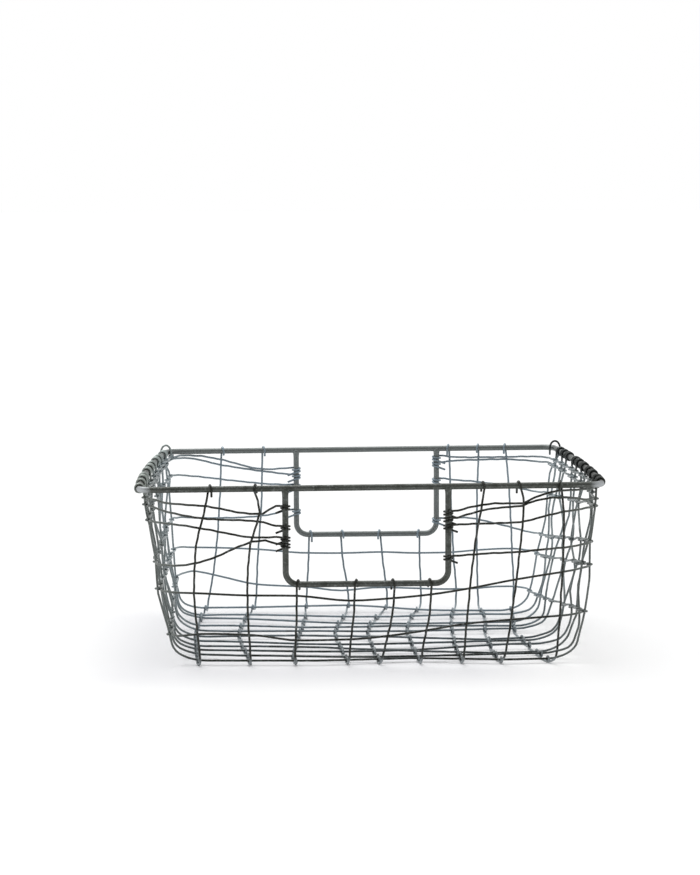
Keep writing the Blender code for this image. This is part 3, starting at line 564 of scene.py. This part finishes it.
def length_wire_points(number):
    """A length wire's plain route, from its hook at the left rail to the one at the right rail."""
    shares = LENGTH_WIRE_SHARES[number]
    if number in LOOSE_HOOK_WIRES:
        out, ease_out, rise, blend = 1, LOOSE_HOOK_EASE, LOOSE_HOOK_RISE, LOOSE_HOOK_BLEND
    else:
        out, ease_out, rise, blend = -1, 0, 0, HOOK_BLEND
    lean = HOOK_LEAN if shares[0] < 0.5 or number in LOOSE_HOOK_WIRES else -HOOK_LEAN

    def y_at(place, height):
        return along_y(smooth_read(LENGTH_ROUTE_SHARES, shares, place), height)

    def point(x, z):
        height = min(z / RIM_HEIGHT, 1)
        depth = depth_share(y_at(1 if x < 0 else 2, 0))
        left, right = side_hoop_x(-1, depth, 0), side_hoop_x(1, depth, 0)
        return Vector((x, y_at(route_place((x - left) / (right - left), height), height), z))

    halves = []
    for side, foot in ((-1, 1), (1, 2)):
        def wall(height):
            y = y_at(foot + side * height, height)
            return abs(side_hoop_x(side, depth_share(y), height))

        top_y = y_at(foot + side, 1)
        rod_reach = abs(side_x(side, depth_share(top_y), 1))
        half = []
        for reach, z, k in hook(0, RIM_HEIGHT, out, ease_out, rise):
            y = top_y + lean * k
            half.append(Vector((side_x(side, depth_share(y), 1) + side * reach, y, z)))
        rest = resting_height(y_at(foot, 0))
        line = wall_and_bend(wall, RIM_HEIGHT, SIDE_BEND_RISE, SIDE_BEND_RUN, rest,
                             LENGTH_WALL_STEPS, blend)
        for reach, z in line[1:]:
            step = point(side * toward_hook(reach, z, rod_reach, RIM_HEIGHT, out, ease_out, blend), z)
            step.z = max(z, resting_height(step.y))
            half.append(step)
        halves.append(half)
    left, right = halves
    floor = []
    for i in range(1, FLOOR_STEPS):
        step = point(mix(left[-1].x, right[-1].x, i / FLOOR_STEPS), left[-1].z)
        step.z = resting_height(step.y)
        floor.append(step)
    return left + floor + right[::-1]


def hoop_height(share):
    """Height of a share between the top of the floor bend and the rim; the shares move with the bar."""
    bar = (BAR_HEIGHT - SIDE_BEND_RISE) / (RIM_HEIGHT - SIDE_BEND_RISE)
    share = float(np.interp(share, (0, BAR_HEIGHT_SHARE, 1), (0, bar, 1)))
    return mix(SIDE_BEND_RISE, RIM_HEIGHT, share)


def wall_point(place, height):
    """Point of the hoop layer at a place round the basket, before its corners are rounded."""
    wall = math.floor(place) % CORNERS
    share = place - math.floor(place)
    front, back = end_y(-1, height), end_y(1, height)
    if wall in (1, 3):
        y = mix(front, back, share) if wall == 1 else mix(back, front, share)
        return np.array((side_hoop_x(1 if wall == 1 else -1, depth_share(y), height), y))
    end = 0 if wall == 0 else 1
    left, right = side_hoop_x(-1, end, height), side_hoop_x(1, end, height)
    return np.array((mix(left, right, share), front) if end == 0 else (mix(right, left, share), back))


def corner_shares(corner, height):
    """How much of the wall before a corner, and of the one after it, the corner's rounding takes."""
    at = wall_point(corner, height)
    before = np.linalg.norm(wall_point(corner - 1, height) - at)
    after = np.linalg.norm(wall_point(corner + 1, height) - at)
    return HOOP_CORNER_RADIUS / before, HOOP_CORNER_RADIUS / after


def hoop_point(place, z):
    """Point of the hoop layer at a place round the basket and a height, with its corners rounded."""
    height = z / RIM_HEIGHT
    corner = round(place)
    before, after = corner_shares(corner, height)
    offset = place - corner
    if not -before < offset < after:
        return Vector((*wall_point(place, height), z))
    share = (1 + offset / (before if offset < 0 else after)) / 2
    start, end = wall_point(corner - before, height), wall_point(corner + after, height)
    return Vector((*round_corner(start, wall_point(corner, height), end, share), z))


def hoop_places(first, last, height):
    """Places for a hoop's points: close together round the corners and even along the walls."""
    places = []
    for corner in range(math.floor(first), math.ceil(last) + 1):
        before, after = corner_shares(corner, height)
        next_before = corner_shares(corner + 1, height)[0]
        places += [corner - before * (1 - i / HOOP_CORNER_STEPS) for i in range(HOOP_CORNER_STEPS)]
        places += [corner + after * i / HOOP_CORNER_STEPS for i in range(HOOP_CORNER_STEPS)]
        steps = SIDE_STEPS if corner % 2 else HOOP_END_STEPS
        places += list(np.linspace(corner + after, corner + 1 - next_before, steps + 1)[:-1])
    return [place for place in places if first < place < last]


def full_hoop_points(number):
    """A hoop that runs all the way round, as the points of a closed path."""
    shares = FULL_HOOP_SHARES[number] + FULL_HOOP_SHARES[number][:1]
    places = FULL_PLACE_SHARES + (CORNERS,)
    low = hoop_height(min(shares)) / RIM_HEIGHT
    points = []
    for place in hoop_places(0, CORNERS, low):
        points.append(hoop_point(place, hoop_height(smooth_read(places, shares, place))))
    return points


def wrap_points(end, side, z):
    """A hoop's end wound round an upright, from its tail to where it leaves the rod towards the corner."""
    x, outward = upright_x(end, side), (1 if end else -1)
    y = outward * HALF_DEPTH
    tail_z = z - WRAP_PITCH * WRAP_TURNS - WRAP_TAIL_DROP
    points = [Vector((x + side * WRAP_TAIL, y - outward * CLASP_RADIUS, tail_z))]
    steps = round(WRAP_TURNS * WRAP_STEPS)
    for i in range(steps, -1, -1):
        angle = 2 * math.pi * i / WRAP_STEPS
        turned = Vector((-side * math.sin(angle), outward * math.cos(angle), 0)) * CLASP_RADIUS
        points.append(Vector((x, y, z - WRAP_PITCH * i / WRAP_STEPS)) + turned)
    for share in WRAP_APPROACH_SHARES:
        near_x = x + side * WRAP_APPROACH * share
        wall = end_y(outward, z / RIM_HEIGHT)
        points.append(Vector((near_x, mix(y + outward * CLASP_RADIUS, wall, ease(share)), z)))
    return points


def stacked_heights(shares):
    """Heights of one upright's wraps, top first, each at least its own height below the one above."""
    room = WRAP_PITCH * WRAP_TURNS + WIRE_DIAMETER + CONTACT_GAP
    heights = []
    for share in shares:
        z = hoop_height(share)
        heights.append(min(z, heights[-1] - room) if heights else z)
    return heights


def wrap_place(side, end, z):
    """Place round the basket at which a hoop's end begins its approach to an upright."""
    height = z / RIM_HEIGHT
    left, right = side_hoop_x(-1, end, height), side_hoop_x(1, end, height)
    share = (upright_x(end, side) + side * WRAP_APPROACH - left) / (right - left)
    if end == 0:
        return share
    return (-1 if side < 0 else 3) - share


def end_hoop_points(side):
    """The four hoops round the left (-1) or right (+1) end, each as the points of one wire."""
    place_shares = LEFT_PLACE_SHARES if side < 0 else RIGHT_PLACE_SHARES
    table = LEFT_HOOP_SHARES if side < 0 else RIGHT_HOOP_SHARES
    ends = (1, 0) if side < 0 else (0, 1)
    starts = stacked_heights([row[0] for row in table])
    finishes = stacked_heights([row[-1] for row in table])
    hoops = []
    for row, start_z, finish_z in zip(table, starts, finishes):
        heights = [start_z] + [hoop_height(share) for share in row[1:-1]] + [finish_z]
        places = [wrap_place(side, ends[0], start_z), *place_shares, wrap_place(side, ends[1], finish_z)]
        mean = sum(heights) / len(heights) / RIM_HEIGHT
        points = wrap_points(ends[0], side, start_z)
        for place in hoop_places(places[0], places[-1], mean):
            points.append(hoop_point(place, smooth_read(places, heights, place)))
        points += wrap_points(ends[1], side, finish_z)[::-1]
        hoops.append(points)
    return hoops


def rim_points():
    """The rim's middle line, from its front left corner past the right ones, with bowed side rails."""
    turned = depth_share(RIM_CORNER_RADIUS - HALF_DEPTH)

    def on_side(side, depth):
        return Vector((side_x(side, depth, 1), mix(-HALF_DEPTH, HALF_DEPTH, depth), RIM_HEIGHT))

    points = []
    for side, end in ((-1, 0), (1, 0), (1, 1), (-1, 1)):
        corner = on_side(side, end)
        along_end = corner - X_AXIS * side * RIM_CORNER_RADIUS
        along_side = on_side(side, abs(end - turned))
        rail_next = (side > 0) != (end > 0)
        start, finish = (along_end, along_side) if rail_next else (along_side, along_end)
        for i in range(RIM_CORNER_STEPS + 1):
            points.append(round_corner(start, corner, finish, i / RIM_CORNER_STEPS))
        if rail_next:
            for i in range(1, SIDE_STEPS):
                points.append(on_side(side, mix(abs(end - turned), abs(1 - end - turned), i / SIDE_STEPS)))
    return points


def handle_points(end):
    """A handle's middle line round its left corner, along the bar and round its right corner."""
    y = HALF_DEPTH if end else -HALF_DEPTH
    turn = BAR_HEIGHT + HANDLE_CORNER_RADIUS
    left, right = [], []
    for i in range(HANDLE_CORNER_STEPS + 1):
        angle = math.pi / 2 * i / HANDLE_CORNER_STEPS
        inward = HANDLE_CORNER_RADIUS * (1 - math.cos(angle))
        z = turn - HANDLE_CORNER_RADIUS * math.sin(angle)
        left.append(Vector((upright_x(end, -1) + inward, y, z)))
        right.append(Vector((upright_x(end, 1) - inward, y, z)))
    return left + right[::-1]


def welded_handle(end):
    """A handle's path and radii, with fillets that widen into the rim where the rods are welded."""
    bar = handle_points(end)
    top = RIM_HEIGHT - ROD_RADIUS / 2
    foot = RIM_HEIGHT - ROD_RADIUS - FILLET_LENGTH
    fillets = []
    for turn in (bar[0], bar[-1]):
        fillet = []
        for fall, wide in FILLET_SHARES:
            place = Vector((turn.x, turn.y, mix(top, foot, fall)))
            fillet.append((place, mix(ROD_RADIUS, FILLET_RADIUS, wide)))
        fillets.append(fillet)
    line = fillets[0] + [(point, ROD_RADIUS) for point in bar] + fillets[1][::-1]
    return [point for point, radius in line], [radius for point, radius in line]


def unit(vector):
    return vector / np.linalg.norm(vector)


def travel_along(points):
    """How far along a path each of its points lies."""
    return np.concatenate(([0], np.cumsum(np.linalg.norm(np.diff(points, axis=0), axis=1))))


def read_along(spots, marks, points):
    """Points at the given spots, read between those that lie at the marks."""
    return np.array([np.interp(spots, marks, points[:, axis]) for axis in range(3)]).T


def resample(points):
    """Points along a path, about a sample step apart, and how far along it each lies."""
    points = np.array([tuple(point) for point in points])
    travel = travel_along(points)
    count = max(int(travel[-1] / SAMPLE_STEP), 2)
    even = np.union1d(np.linspace(0, travel[-1], count), travel)
    even = even[np.concatenate(([True], np.diff(even) > LEAST_STEP))]
    return read_along(even, travel, points), even


def hand_bent(points, across, seed):
    """Let a path wander a little along the axis across, except near its ends."""
    path, travel = resample(points)
    free = np.clip(np.minimum(travel, travel[-1] - travel) / WOBBLE_FREE - 1, 0, 1)
    return path + np.outer(waves(travel, WOBBLE_LENGTHS, seed) * free * WOBBLE_REACH, across), travel


def cut_stubs(points, first, last):
    """Make the straight stubs at both ends of a hooked wire longer or shorter."""
    points = list(points)
    points[0] = points[1] + (points[0] - points[1]) * first
    points[-1] = points[-2] + (points[-1] - points[-2]) * last
    return points


def rail_coil(side, y, turns, pitch):
    """The end of a length wire wound round the side rail, from its cut end to where it leaves the rail's
    inner side to run down the wall."""
    points = []
    steps = round(turns * COIL_STEPS)
    for i in range(steps, -1, -1):
        angle = math.pi - 2 * math.pi * i / COIL_STEPS
        along = y + pitch * i / COIL_STEPS
        rail = side_x(side, depth_share(along), 1)
        points.append(Vector((rail + side * CLASP_RADIUS * math.cos(angle), along,
                              RIM_HEIGHT + CLASP_RADIUS * math.sin(angle))))
    return points


def coiled_ends(points, number):
    """Wind both ends of a length wire round the rails, in place of the stub and arc of its hooks."""
    hooked = ARC_STEPS + 2
    middle = points[hooked:-hooked]
    left = rail_coil(-1, points[hooked - 1].y, COIL_TURNS[number - 1], COIL_PITCHES[number - 1])
    right = rail_coil(1, points[-hooked].y, COIL_TURNS[-number], COIL_PITCHES[-number])
    return left + middle + right[::-1]


def ramp(values, span):
    """0 before a span, 1 past it and even between."""
    return np.clip((values - span[0]) / (span[1] - span[0]), 0, 1)


def waves(travel, lengths, seed):
    """A mix of waves along a wire, between -1 and 1."""
    total = np.zeros(len(travel))
    for number, length in enumerate(lengths):
        phase = (seed * SEED_PHASE + number * WAVE_PHASE) % (2 * math.pi)
        total += np.sin(2 * math.pi * travel / length + phase) / len(lengths)
    return total


def kinks(travel, step, seed):
    """Straight stretches between kinks at even steps along a wire, each kink between -1 and 1."""
    marks = np.arange(0, travel[-1] + 2 * step, step)
    scattered = np.sin((np.arange(len(marks)) + 1) * KINK_SPIN + seed * SEED_SPIN) * SCATTER_SPREAD
    return np.interp(travel, marks, 2 * (scattered - np.floor(scattered)) - 1)


def dented(path, travel, seed):
    """Let a length wire stray as the dented side walls and the uneven floor take it."""
    x, z = path[:, 0], path[:, 2]
    wall = ramp(z, DENT_FOOT) * (1 - ramp(z, DENT_TOP))
    floor = 1 - ramp(z, FLOOR_EDGE)
    out = kinks(travel, WALL_KINK_STEP, seed) * wall * WALL_DENT
    along = kinks(travel, WALL_KINK_STEP, seed + WALL_STRAY_SEED) * wall * WALL_STRAY
    along += kinks(travel, FLOOR_KINK_STEP, seed + FLOOR_STRAY_SEED) * floor * FLOOR_STRAY
    up = (1 + kinks(travel, FLOOR_KINK_STEP, seed + FLOOR_RISE_SEED)) / 2 * floor * FLOOR_RISE
    return path + np.array((out * np.sign(x), along, up)).T


def dented_hoop(path, travel, seed):
    """Let a hoop stray in and out where it runs along a side wall."""
    path = path.copy()
    wall = 1 - ramp(np.abs(path[:, 1]), DENT_ENDS)
    path[:, 0] += kinks(travel, WALL_KINK_STEP, seed + HOOP_DENT_SEED) * wall * HOOP_DENT
    return path


def crossing(path, other, side):
    """Where a path passes closest to another wire, left (-1) or right (+1) of the middle or anywhere (0):
    how far apart they are, and the index in each."""
    tree = KDTree(len(path))
    for i, point in enumerate(path):
        tree.insert(point, i)
    tree.balance()
    best = (math.inf, 0, 0)
    for j, point in enumerate(other):
        if side * point[0] >= 0:
            i, apart = tree.find(point)[1:]
            best = min(best, (apart, i, j))
    return best


def turn_round(path, others, sides):
    """Give a path a full turn round each of the other wires that it crosses."""
    travel = travel_along(path)
    found = []
    for other in others:
        for side in sides:
            apart, i, j = crossing(path, other, side)
            if apart < TURN_REACH and 0 < i < len(path) - 1 and 0 < j < len(other) - 1:
                found.append((travel[i], i, other[j], unit(other[j + 1] - other[j - 1])))
    found.sort(key=lambda item: item[0])
    turns = []
    for item in found:
        if not turns or item[0] - turns[-1][0] > TURN_ROOM:
            turns.append(item)
    if not turns:
        return path
    marks = [turns[0][0] - TURN_APPROACH]
    shifts = [np.zeros(3)]
    for passed, _, _, along in turns:
        marks += [passed - TURN_RADIUS / 2, passed + TURN_RADIUS / 2]
        shifts += [-TURN_SHIFT * along, TURN_SHIFT * along]
    marks.append(turns[-1][0] + TURN_APPROACH)
    shifts.append(np.zeros(3))
    moved = path + read_along(travel, marks, np.array(shifts))
    points = []
    start = 0
    for passed, i, centre, along in turns:
        before = int(np.searchsorted(travel, passed - TURN_RADIUS))
        points += list(moved[start:before])
        start = int(np.searchsorted(travel, passed + TURN_RADIUS))
        toward = path[i] - centre
        toward = unit(toward - along * np.dot(toward, along))
        onward = path[i + 1] - path[i - 1]
        onward = unit(onward - (along * np.dot(onward, along) + toward * np.dot(onward, toward)))
        for k in range(TURN_STEPS + 1):
            angle = 2 * math.pi * k / TURN_STEPS
            shift = TURN_SHIFT * (2 * k / TURN_STEPS - 1)
            points.append(centre + along * shift
                          + TURN_RADIUS * (math.cos(angle) * toward + math.sin(angle) * onward))
    points += list(moved[start:])
    return np.array(points)


def frames_along(points, closed):
    """Unit tangents of a path, and side vectors that turn with it as little as they can."""
    after = np.roll(points, -1, axis=0) if closed else np.vstack((points[1:], points[-1:]))
    before = np.roll(points, 1, axis=0) if closed else np.vstack((points[:1], points[:-1]))
    tangents = after - before
    tangents /= np.linalg.norm(tangents, axis=1)[:, None]
    sides = [unit(np.cross(tangents[0], Z_AXIS if abs(tangents[0][2]) < UPRIGHT_SHARE else X_AXIS))]
    for tangent in tangents[1:]:
        sides.append(unit(sides[-1] - tangent * np.dot(sides[-1], tangent)))
    return tangents, np.array(sides)


def round_ends(points, radii):
    """Add the rounded end of a cut wire at both ends of a path."""
    first, last = unit(points[0] - points[1]), unit(points[-1] - points[-2])
    lead, trail = [], []
    for share in END_RING_SHARES:
        reach = math.sqrt(1 - share * share) * END_ROUND_SHARE
        lead.insert(0, (points[0] + first * radii[0] * reach, radii[0] * share))
        trail.append((points[-1] + last * radii[-1] * reach, radii[-1] * share))
    rings = lead + list(zip(points, radii)) + trail
    return np.array([place for place, radius in rings]), np.array([radius for place, radius in rings])


def put(name, data):
    """A new item in the scene."""
    item = bpy.data.objects.new(name, data)
    bpy.context.scene.collection.objects.link(item)
    return item


def tube(name, points, radii, sides, material, nodes, closed=False):
    """One smooth tube along a path, which rides on the basket and stands for the solids named in nodes."""
    points = np.array([tuple(point) for point in points])
    points[:, 2] *= 1 + RIM_SKEW * points[:, 0] / RIM_HEIGHT
    radii = np.full(len(points), radii) + SKIN
    points[:, 2] = np.maximum(points[:, 2], radii)
    if not closed:
        points, radii = round_ends(points, radii)
    tangents, out = frames_along(points, closed)
    up = np.cross(tangents, out)
    twist = 0.0
    if closed:
        back = np.cross(tangents[0], out[-1])
        twist = math.atan2(np.dot(out[0], back), np.dot(out[0], out[-1]))
    count = len(points)
    angles = np.arange(sides) * 2 * math.pi / sides
    turned = angles[None, :] + twist * np.arange(count)[:, None] / count
    rings = out[:, None] * np.cos(turned)[..., None] + up[:, None] * np.sin(turned)[..., None]
    corners = (points[:, None] + rings * radii[:, None, None]).reshape(-1, 3)
    faces = []
    for i in range(count if closed else count - 1):
        near, far = i * sides, (i + 1) % count * sides
        for k in range(sides):
            faces.append((near + k, near + (k + 1) % sides, far + (k + 1) % sides, far + k))
    if not closed:
        faces.append(tuple(range(sides))[::-1])
        faces.append(tuple(range((count - 1) * sides, count * sides)))
    mesh = bpy.data.meshes.new(name)
    mesh.from_pydata(corners.tolist(), [], faces)
    mesh.shade_smooth()
    mesh.materials.append(material)
    piece = put(name, mesh)
    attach(piece, "root")
    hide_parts(*nodes)


def wire(node, path, material, closed=False):
    """One thin wire along a path, in place of the solid of that node."""
    tube(f"{node}_bent", path, WIRE_RADIUS, WIRE_SIDES, material, [node], closed)


def linear(code):
    """Linear colour of an sRGB hex value."""
    values = [int(code[i:i + 2], 16) / 255 for i in (1, 3, 5)]
    return (*(v / 12.92 if v <= 0.04045 else ((v + 0.055) / 1.055) ** 2.4 for v in values), 1)


def add(tree, kind, inputs=None, **settings):
    """Add a node with its settings; an input takes a value, or a socket to be linked from."""
    node = tree.nodes.new(kind)
    for key, value in settings.items():
        setattr(node, key, value)
    for key, value in (inputs or {}).items():
        if isinstance(value, bpy.types.NodeSocket):
            tree.links.new(value, node.inputs[key])
        else:
            node.inputs[key].default_value = value
    return node


def new_material(name):
    material = bpy.data.materials.new(name)
    material.use_nodes = True
    material.node_tree.nodes.clear()
    return material, material.node_tree


def scale_for(size):
    """Noise scale at which one patch is about as wide as size, in metres."""
    return 1 / size


def steel_with_patina_and_painted_light(name, tones, roughness, painted_places):
    """Mild steel with a dull grey patina, matt and nearly even, with stains and fine rubbed specks. Painted
    shade darkens it and its stains toward the front, painted light makes it lighter and cooler toward the
    back, and the last argument adds places painted pale as highlights or dark as shade."""
    front, back, dark, bright = (linear(tone) for tone in tones)
    material, tree = new_material(name)
    place = add(tree, "ShaderNodeTexCoord").outputs["Object"]
    parts = add(tree, "ShaderNodeSeparateXYZ", {0: place})
    depth = add(tree, "ShaderNodeMapRange", {"Value": parts.outputs[1], "From Min": -HALF_DEPTH,
                                             "From Max": HALF_DEPTH}).outputs[0]
    stains = add(tree, "ShaderNodeTexNoise", {"Vector": place, "Scale": scale_for(STAIN_SIZE),
                                              "Detail": STAIN_DETAIL}).outputs[0]
    grain = add(tree, "ShaderNodeTexNoise", {"Vector": place, "Scale": scale_for(GRAIN_SIZE),
                                             "Detail": GRAIN_DETAIL}).outputs[0]
    # Painted shade and light: darker toward the front, lighter and bluer toward the back, with the stains
    # dark only toward the front
    colour = add(tree, "ShaderNodeMix", {0: depth, 6: front, 7: back}, data_type="RGBA").outputs[2]
    deep = add(tree, "ShaderNodeMix", {0: depth, 6: dark, 7: colour}, data_type="RGBA").outputs[2]
    layers = [(stains, *STAIN_RISE, deep), (grain, *SPECK_RISE, bright)]
    # Places painted pale as highlights or dark as shade, each along a direction
    for direction, start, full, share, tone in painted_places:
        along = add(tree, "ShaderNodeVectorMath", {0: place, 1: direction}, operation="DOT_PRODUCT")
        layers.append((along.outputs["Value"], start, full, share, linear(tone)))
    for value, start, full, share, tone in layers:
        cover = add(tree, "ShaderNodeMapRange", {"Value": value, "From Min": start, "From Max": full,
                                                 "To Max": share}).outputs[0]
        colour = add(tree, "ShaderNodeMix", {0: cover, 6: colour, 7: tone}, data_type="RGBA").outputs[2]
    low, high = ROUGHNESS_RISE
    rough = add(tree, "ShaderNodeMapRange", {"Value": stains, "From Min": low, "From Max": high,
                                             "To Min": roughness - SMOOTHER,
                                             "To Max": roughness + ROUGHER})
    bump = add(tree, "ShaderNodeBump", {"Height": grain, "Strength": GRAIN_STRENGTH,
                                        "Distance": GRAIN_DEPTH})
    shader = add(tree, "ShaderNodeBsdfPrincipled", {"Base Color": colour, "Metallic": METALLIC,
                                                    "Roughness": rough.outputs[0],
                                                    "Normal": bump.outputs[0]})
    add(tree, "ShaderNodeOutputMaterial", {"Surface": shader.outputs[0]})
    return material


def studio_floor():
    """Matt white paper sweep, with a painted shadow that makes it a touch greyer close to the basket; it
    also takes the sun's soft shadow, and the camera sees the rest of it as plain white."""
    material, tree = new_material("white_paper_sweep")
    place = add(tree, "ShaderNodeTexCoord").outputs["Object"]
    # Painted shadow: the paper greys round a middle near the basket's feet and fades back to white paper
    away = add(tree, "ShaderNodeVectorMath", {0: place, 1: SHADE_MIDDLE}, operation="SUBTRACT")
    away = add(tree, "ShaderNodeVectorMath", {0: away.outputs[0]}, operation="ABSOLUTE")
    away = add(tree, "ShaderNodeVectorMath", {0: away.outputs[0], 1: SHADE_REACH}, operation="SUBTRACT")
    away = add(tree, "ShaderNodeVectorMath", {0: away.outputs[0], 1: (0, 0, 0)}, operation="MAXIMUM")
    away = add(tree, "ShaderNodeVectorMath", {0: away.outputs[0]}, operation="LENGTH")
    clear = add(tree, "ShaderNodeMapRange", {"Value": away.outputs["Value"], "From Max": SHADE_FADE},
                interpolation_type="SMOOTHSTEP")
    tone = add(tree, "ShaderNodeMix", {0: clear.outputs[0], 6: linear(SHADED_PAPER), 7: linear(PAPER)},
               data_type="RGBA")
    paper = add(tree, "ShaderNodeBsdfDiffuse", {"Color": tone.outputs[2]})
    seen = add(tree, "ShaderNodeLightPath").outputs["Is Camera Ray"]
    lift = add(tree, "ShaderNodeMath", {0: seen, 1: FLOOR_LIFT}, operation="MULTIPLY")
    glow = add(tree, "ShaderNodeEmission", {"Strength": lift.outputs[0]})
    both = add(tree, "ShaderNodeAddShader", {0: paper.outputs[0], 1: glow.outputs[0]})
    add(tree, "ShaderNodeOutputMaterial", {"Surface": both.outputs[0]})
    mesh = bpy.data.meshes.new("studio_floor")
    half = FLOOR_SIZE / 2
    corners = [(-half, -half, 0), (half, -half, 0), (half, half, 0), (-half, half, 0)]
    mesh.from_pydata(corners, [], [(0, 1, 2, 3)])
    mesh.materials.append(material)
    floor = put("studio_floor", mesh)


def studio_light():
    """Even white room light, weaker from the camera's side, and a broad soft sun that gives the shadow."""
    world = bpy.data.worlds.new("white_room")
    bpy.context.scene.world = world
    world.use_nodes = True
    tree = world.node_tree
    tree.nodes.clear()
    direction = add(tree, "ShaderNodeTexCoord").outputs["Generated"]
    toward = add(tree, "ShaderNodeSeparateXYZ", {0: direction})
    darkest, lightest = CAMERA_SIDE
    room = add(tree, "ShaderNodeMapRange", {"Value": toward.outputs[1], "From Min": darkest,
                                            "From Max": lightest, "To Min": CAMERA_SIDE_LIGHT,
                                            "To Max": ROOM_LIGHT})
    seen = add(tree, "ShaderNodeLightPath").outputs["Is Camera Ray"]
    strength = add(tree, "ShaderNodeMix", {0: seen, 2: room.outputs[0], 3: SEEN_LIGHT})
    background = add(tree, "ShaderNodeBackground", {"Color": linear(ROOM_WHITE),
                                                    "Strength": strength.outputs[0]})
    add(tree, "ShaderNodeOutputWorld", {"Surface": background.outputs[0]})
    sun = bpy.data.lights.new("soft_sun", "SUN")
    sun.energy = SUN_LIGHT
    sun.angle = SUN_ANGLE
    put("soft_sun", sun).rotation_euler = SUN_TILT


def photo_camera():
    lens = bpy.data.cameras.new("photo_camera")
    lens.sensor_width = SENSOR_LONG_SIDE
    lens.lens = FOCAL_LENGTH
    lens.clip_start = NEAREST_SEEN
    lens.clip_end = FLOOR_SIZE
    camera = put("photo_camera", lens)
    turn = Matrix.Rotation(CAMERA_YAW, 4, "Z") @ Matrix.Rotation(math.pi / 2 - CAMERA_PITCH, 4, "X")
    camera.matrix_world = Matrix.Translation(CAMERA_PLACE) @ turn @ Matrix.Rotation(CAMERA_ROLL, 4, "Z")
    bpy.context.scene.camera = camera


def length_wire_path(number):
    """A length wire, wound round the rails or hooked over them, dented with the side walls and floor."""
    points = length_wire_points(number)
    if number not in LOOSE_HOOK_WIRES:
        points = coiled_ends(points, number)
    return dented(*hand_bent(points, Y_AXIS, number), number)


def depth_wire_path(number, lengthwise):
    """A depth wire with its hand-cut hooks, turned round the length wires on the floor."""
    stubs = [STUB_SHARES[(number + shift) % len(STUB_SHARES)] for shift in STUB_SHIFTS]
    points = cut_stubs(depth_wire_points(number), *stubs)
    path = hand_bent(points, X_AXIS, number + DEPTH_WIRE_SEED)[0]
    return turn_round(path, lengthwise, (0,))


def dress_basket():
    """Every rod and wire of the basket, each in its own finish."""
    rod = steel_with_patina_and_painted_light("steel_rod_patina_and_painted_light", ROD_TONES, ROD_ROUGHNESS, ROD_PAINTED_LIGHT)
    coiled = steel_with_patina_and_painted_light("coiled_wire_patina_and_painted_light", WIRE_TONES, WIRE_ROUGHNESS, COIL_PAINTED_LIGHT)
    footed = steel_with_patina_and_painted_light("footed_wire_patina_and_painted_light", WIRE_TONES, WIRE_ROUGHNESS, FOOT_PAINTED_HIGHLIGHT)
    hooped = steel_with_patina_and_painted_light("hoop_wire_patina_and_painted_light", WIRE_TONES, WIRE_ROUGHNESS, WALL_PAINTED_HIGHLIGHT)
    tube("rim_rod", rim_points(), ROD_RADIUS, ROD_SIDES, rod, ["rim_frame"], closed=True)
    for end, node in enumerate(("front_handle", "back_handle")):
        points, radii = welded_handle(end)
        tube(f"{node}_rod", points, radii, ROD_SIDES, rod, [node])
    lengthwise = [length_wire_path(number) for number in range(len(LENGTH_WIRE_SHARES))]
    for number, path in enumerate(lengthwise):
        wire(f"length_wire_{number + 1}", path, coiled)
    for number in range(len(DEPTH_WIRE_SHARES)):
        wire(f"depth_wire_{number + 1}", depth_wire_path(number, lengthwise), footed)
    for side, word in ((-1, "left"), (1, "right")):
        for number, points in enumerate(end_hoop_points(side)):
            bent = hand_bent(points, Z_AXIS, number + HOOP_SEED + side)
            path = dented_hoop(*bent, number + HOOP_SIDE_SEED * side)
            wire(f"{word}_hoop_{number + 1}", turn_round(path, lengthwise, (side,)), hooped)
    for number, word in enumerate(("upper", "lower")):
        path = dented_hoop(*resample(full_hoop_points(number)), number)
        wire(f"full_hoop_{word}", turn_round(path, lengthwise, (-1, 1)), hooped, closed=True)


dress_basket()
studio_floor()
studio_light()
photo_camera()
bpy.context.scene.view_settings.view_transform = "Standard"
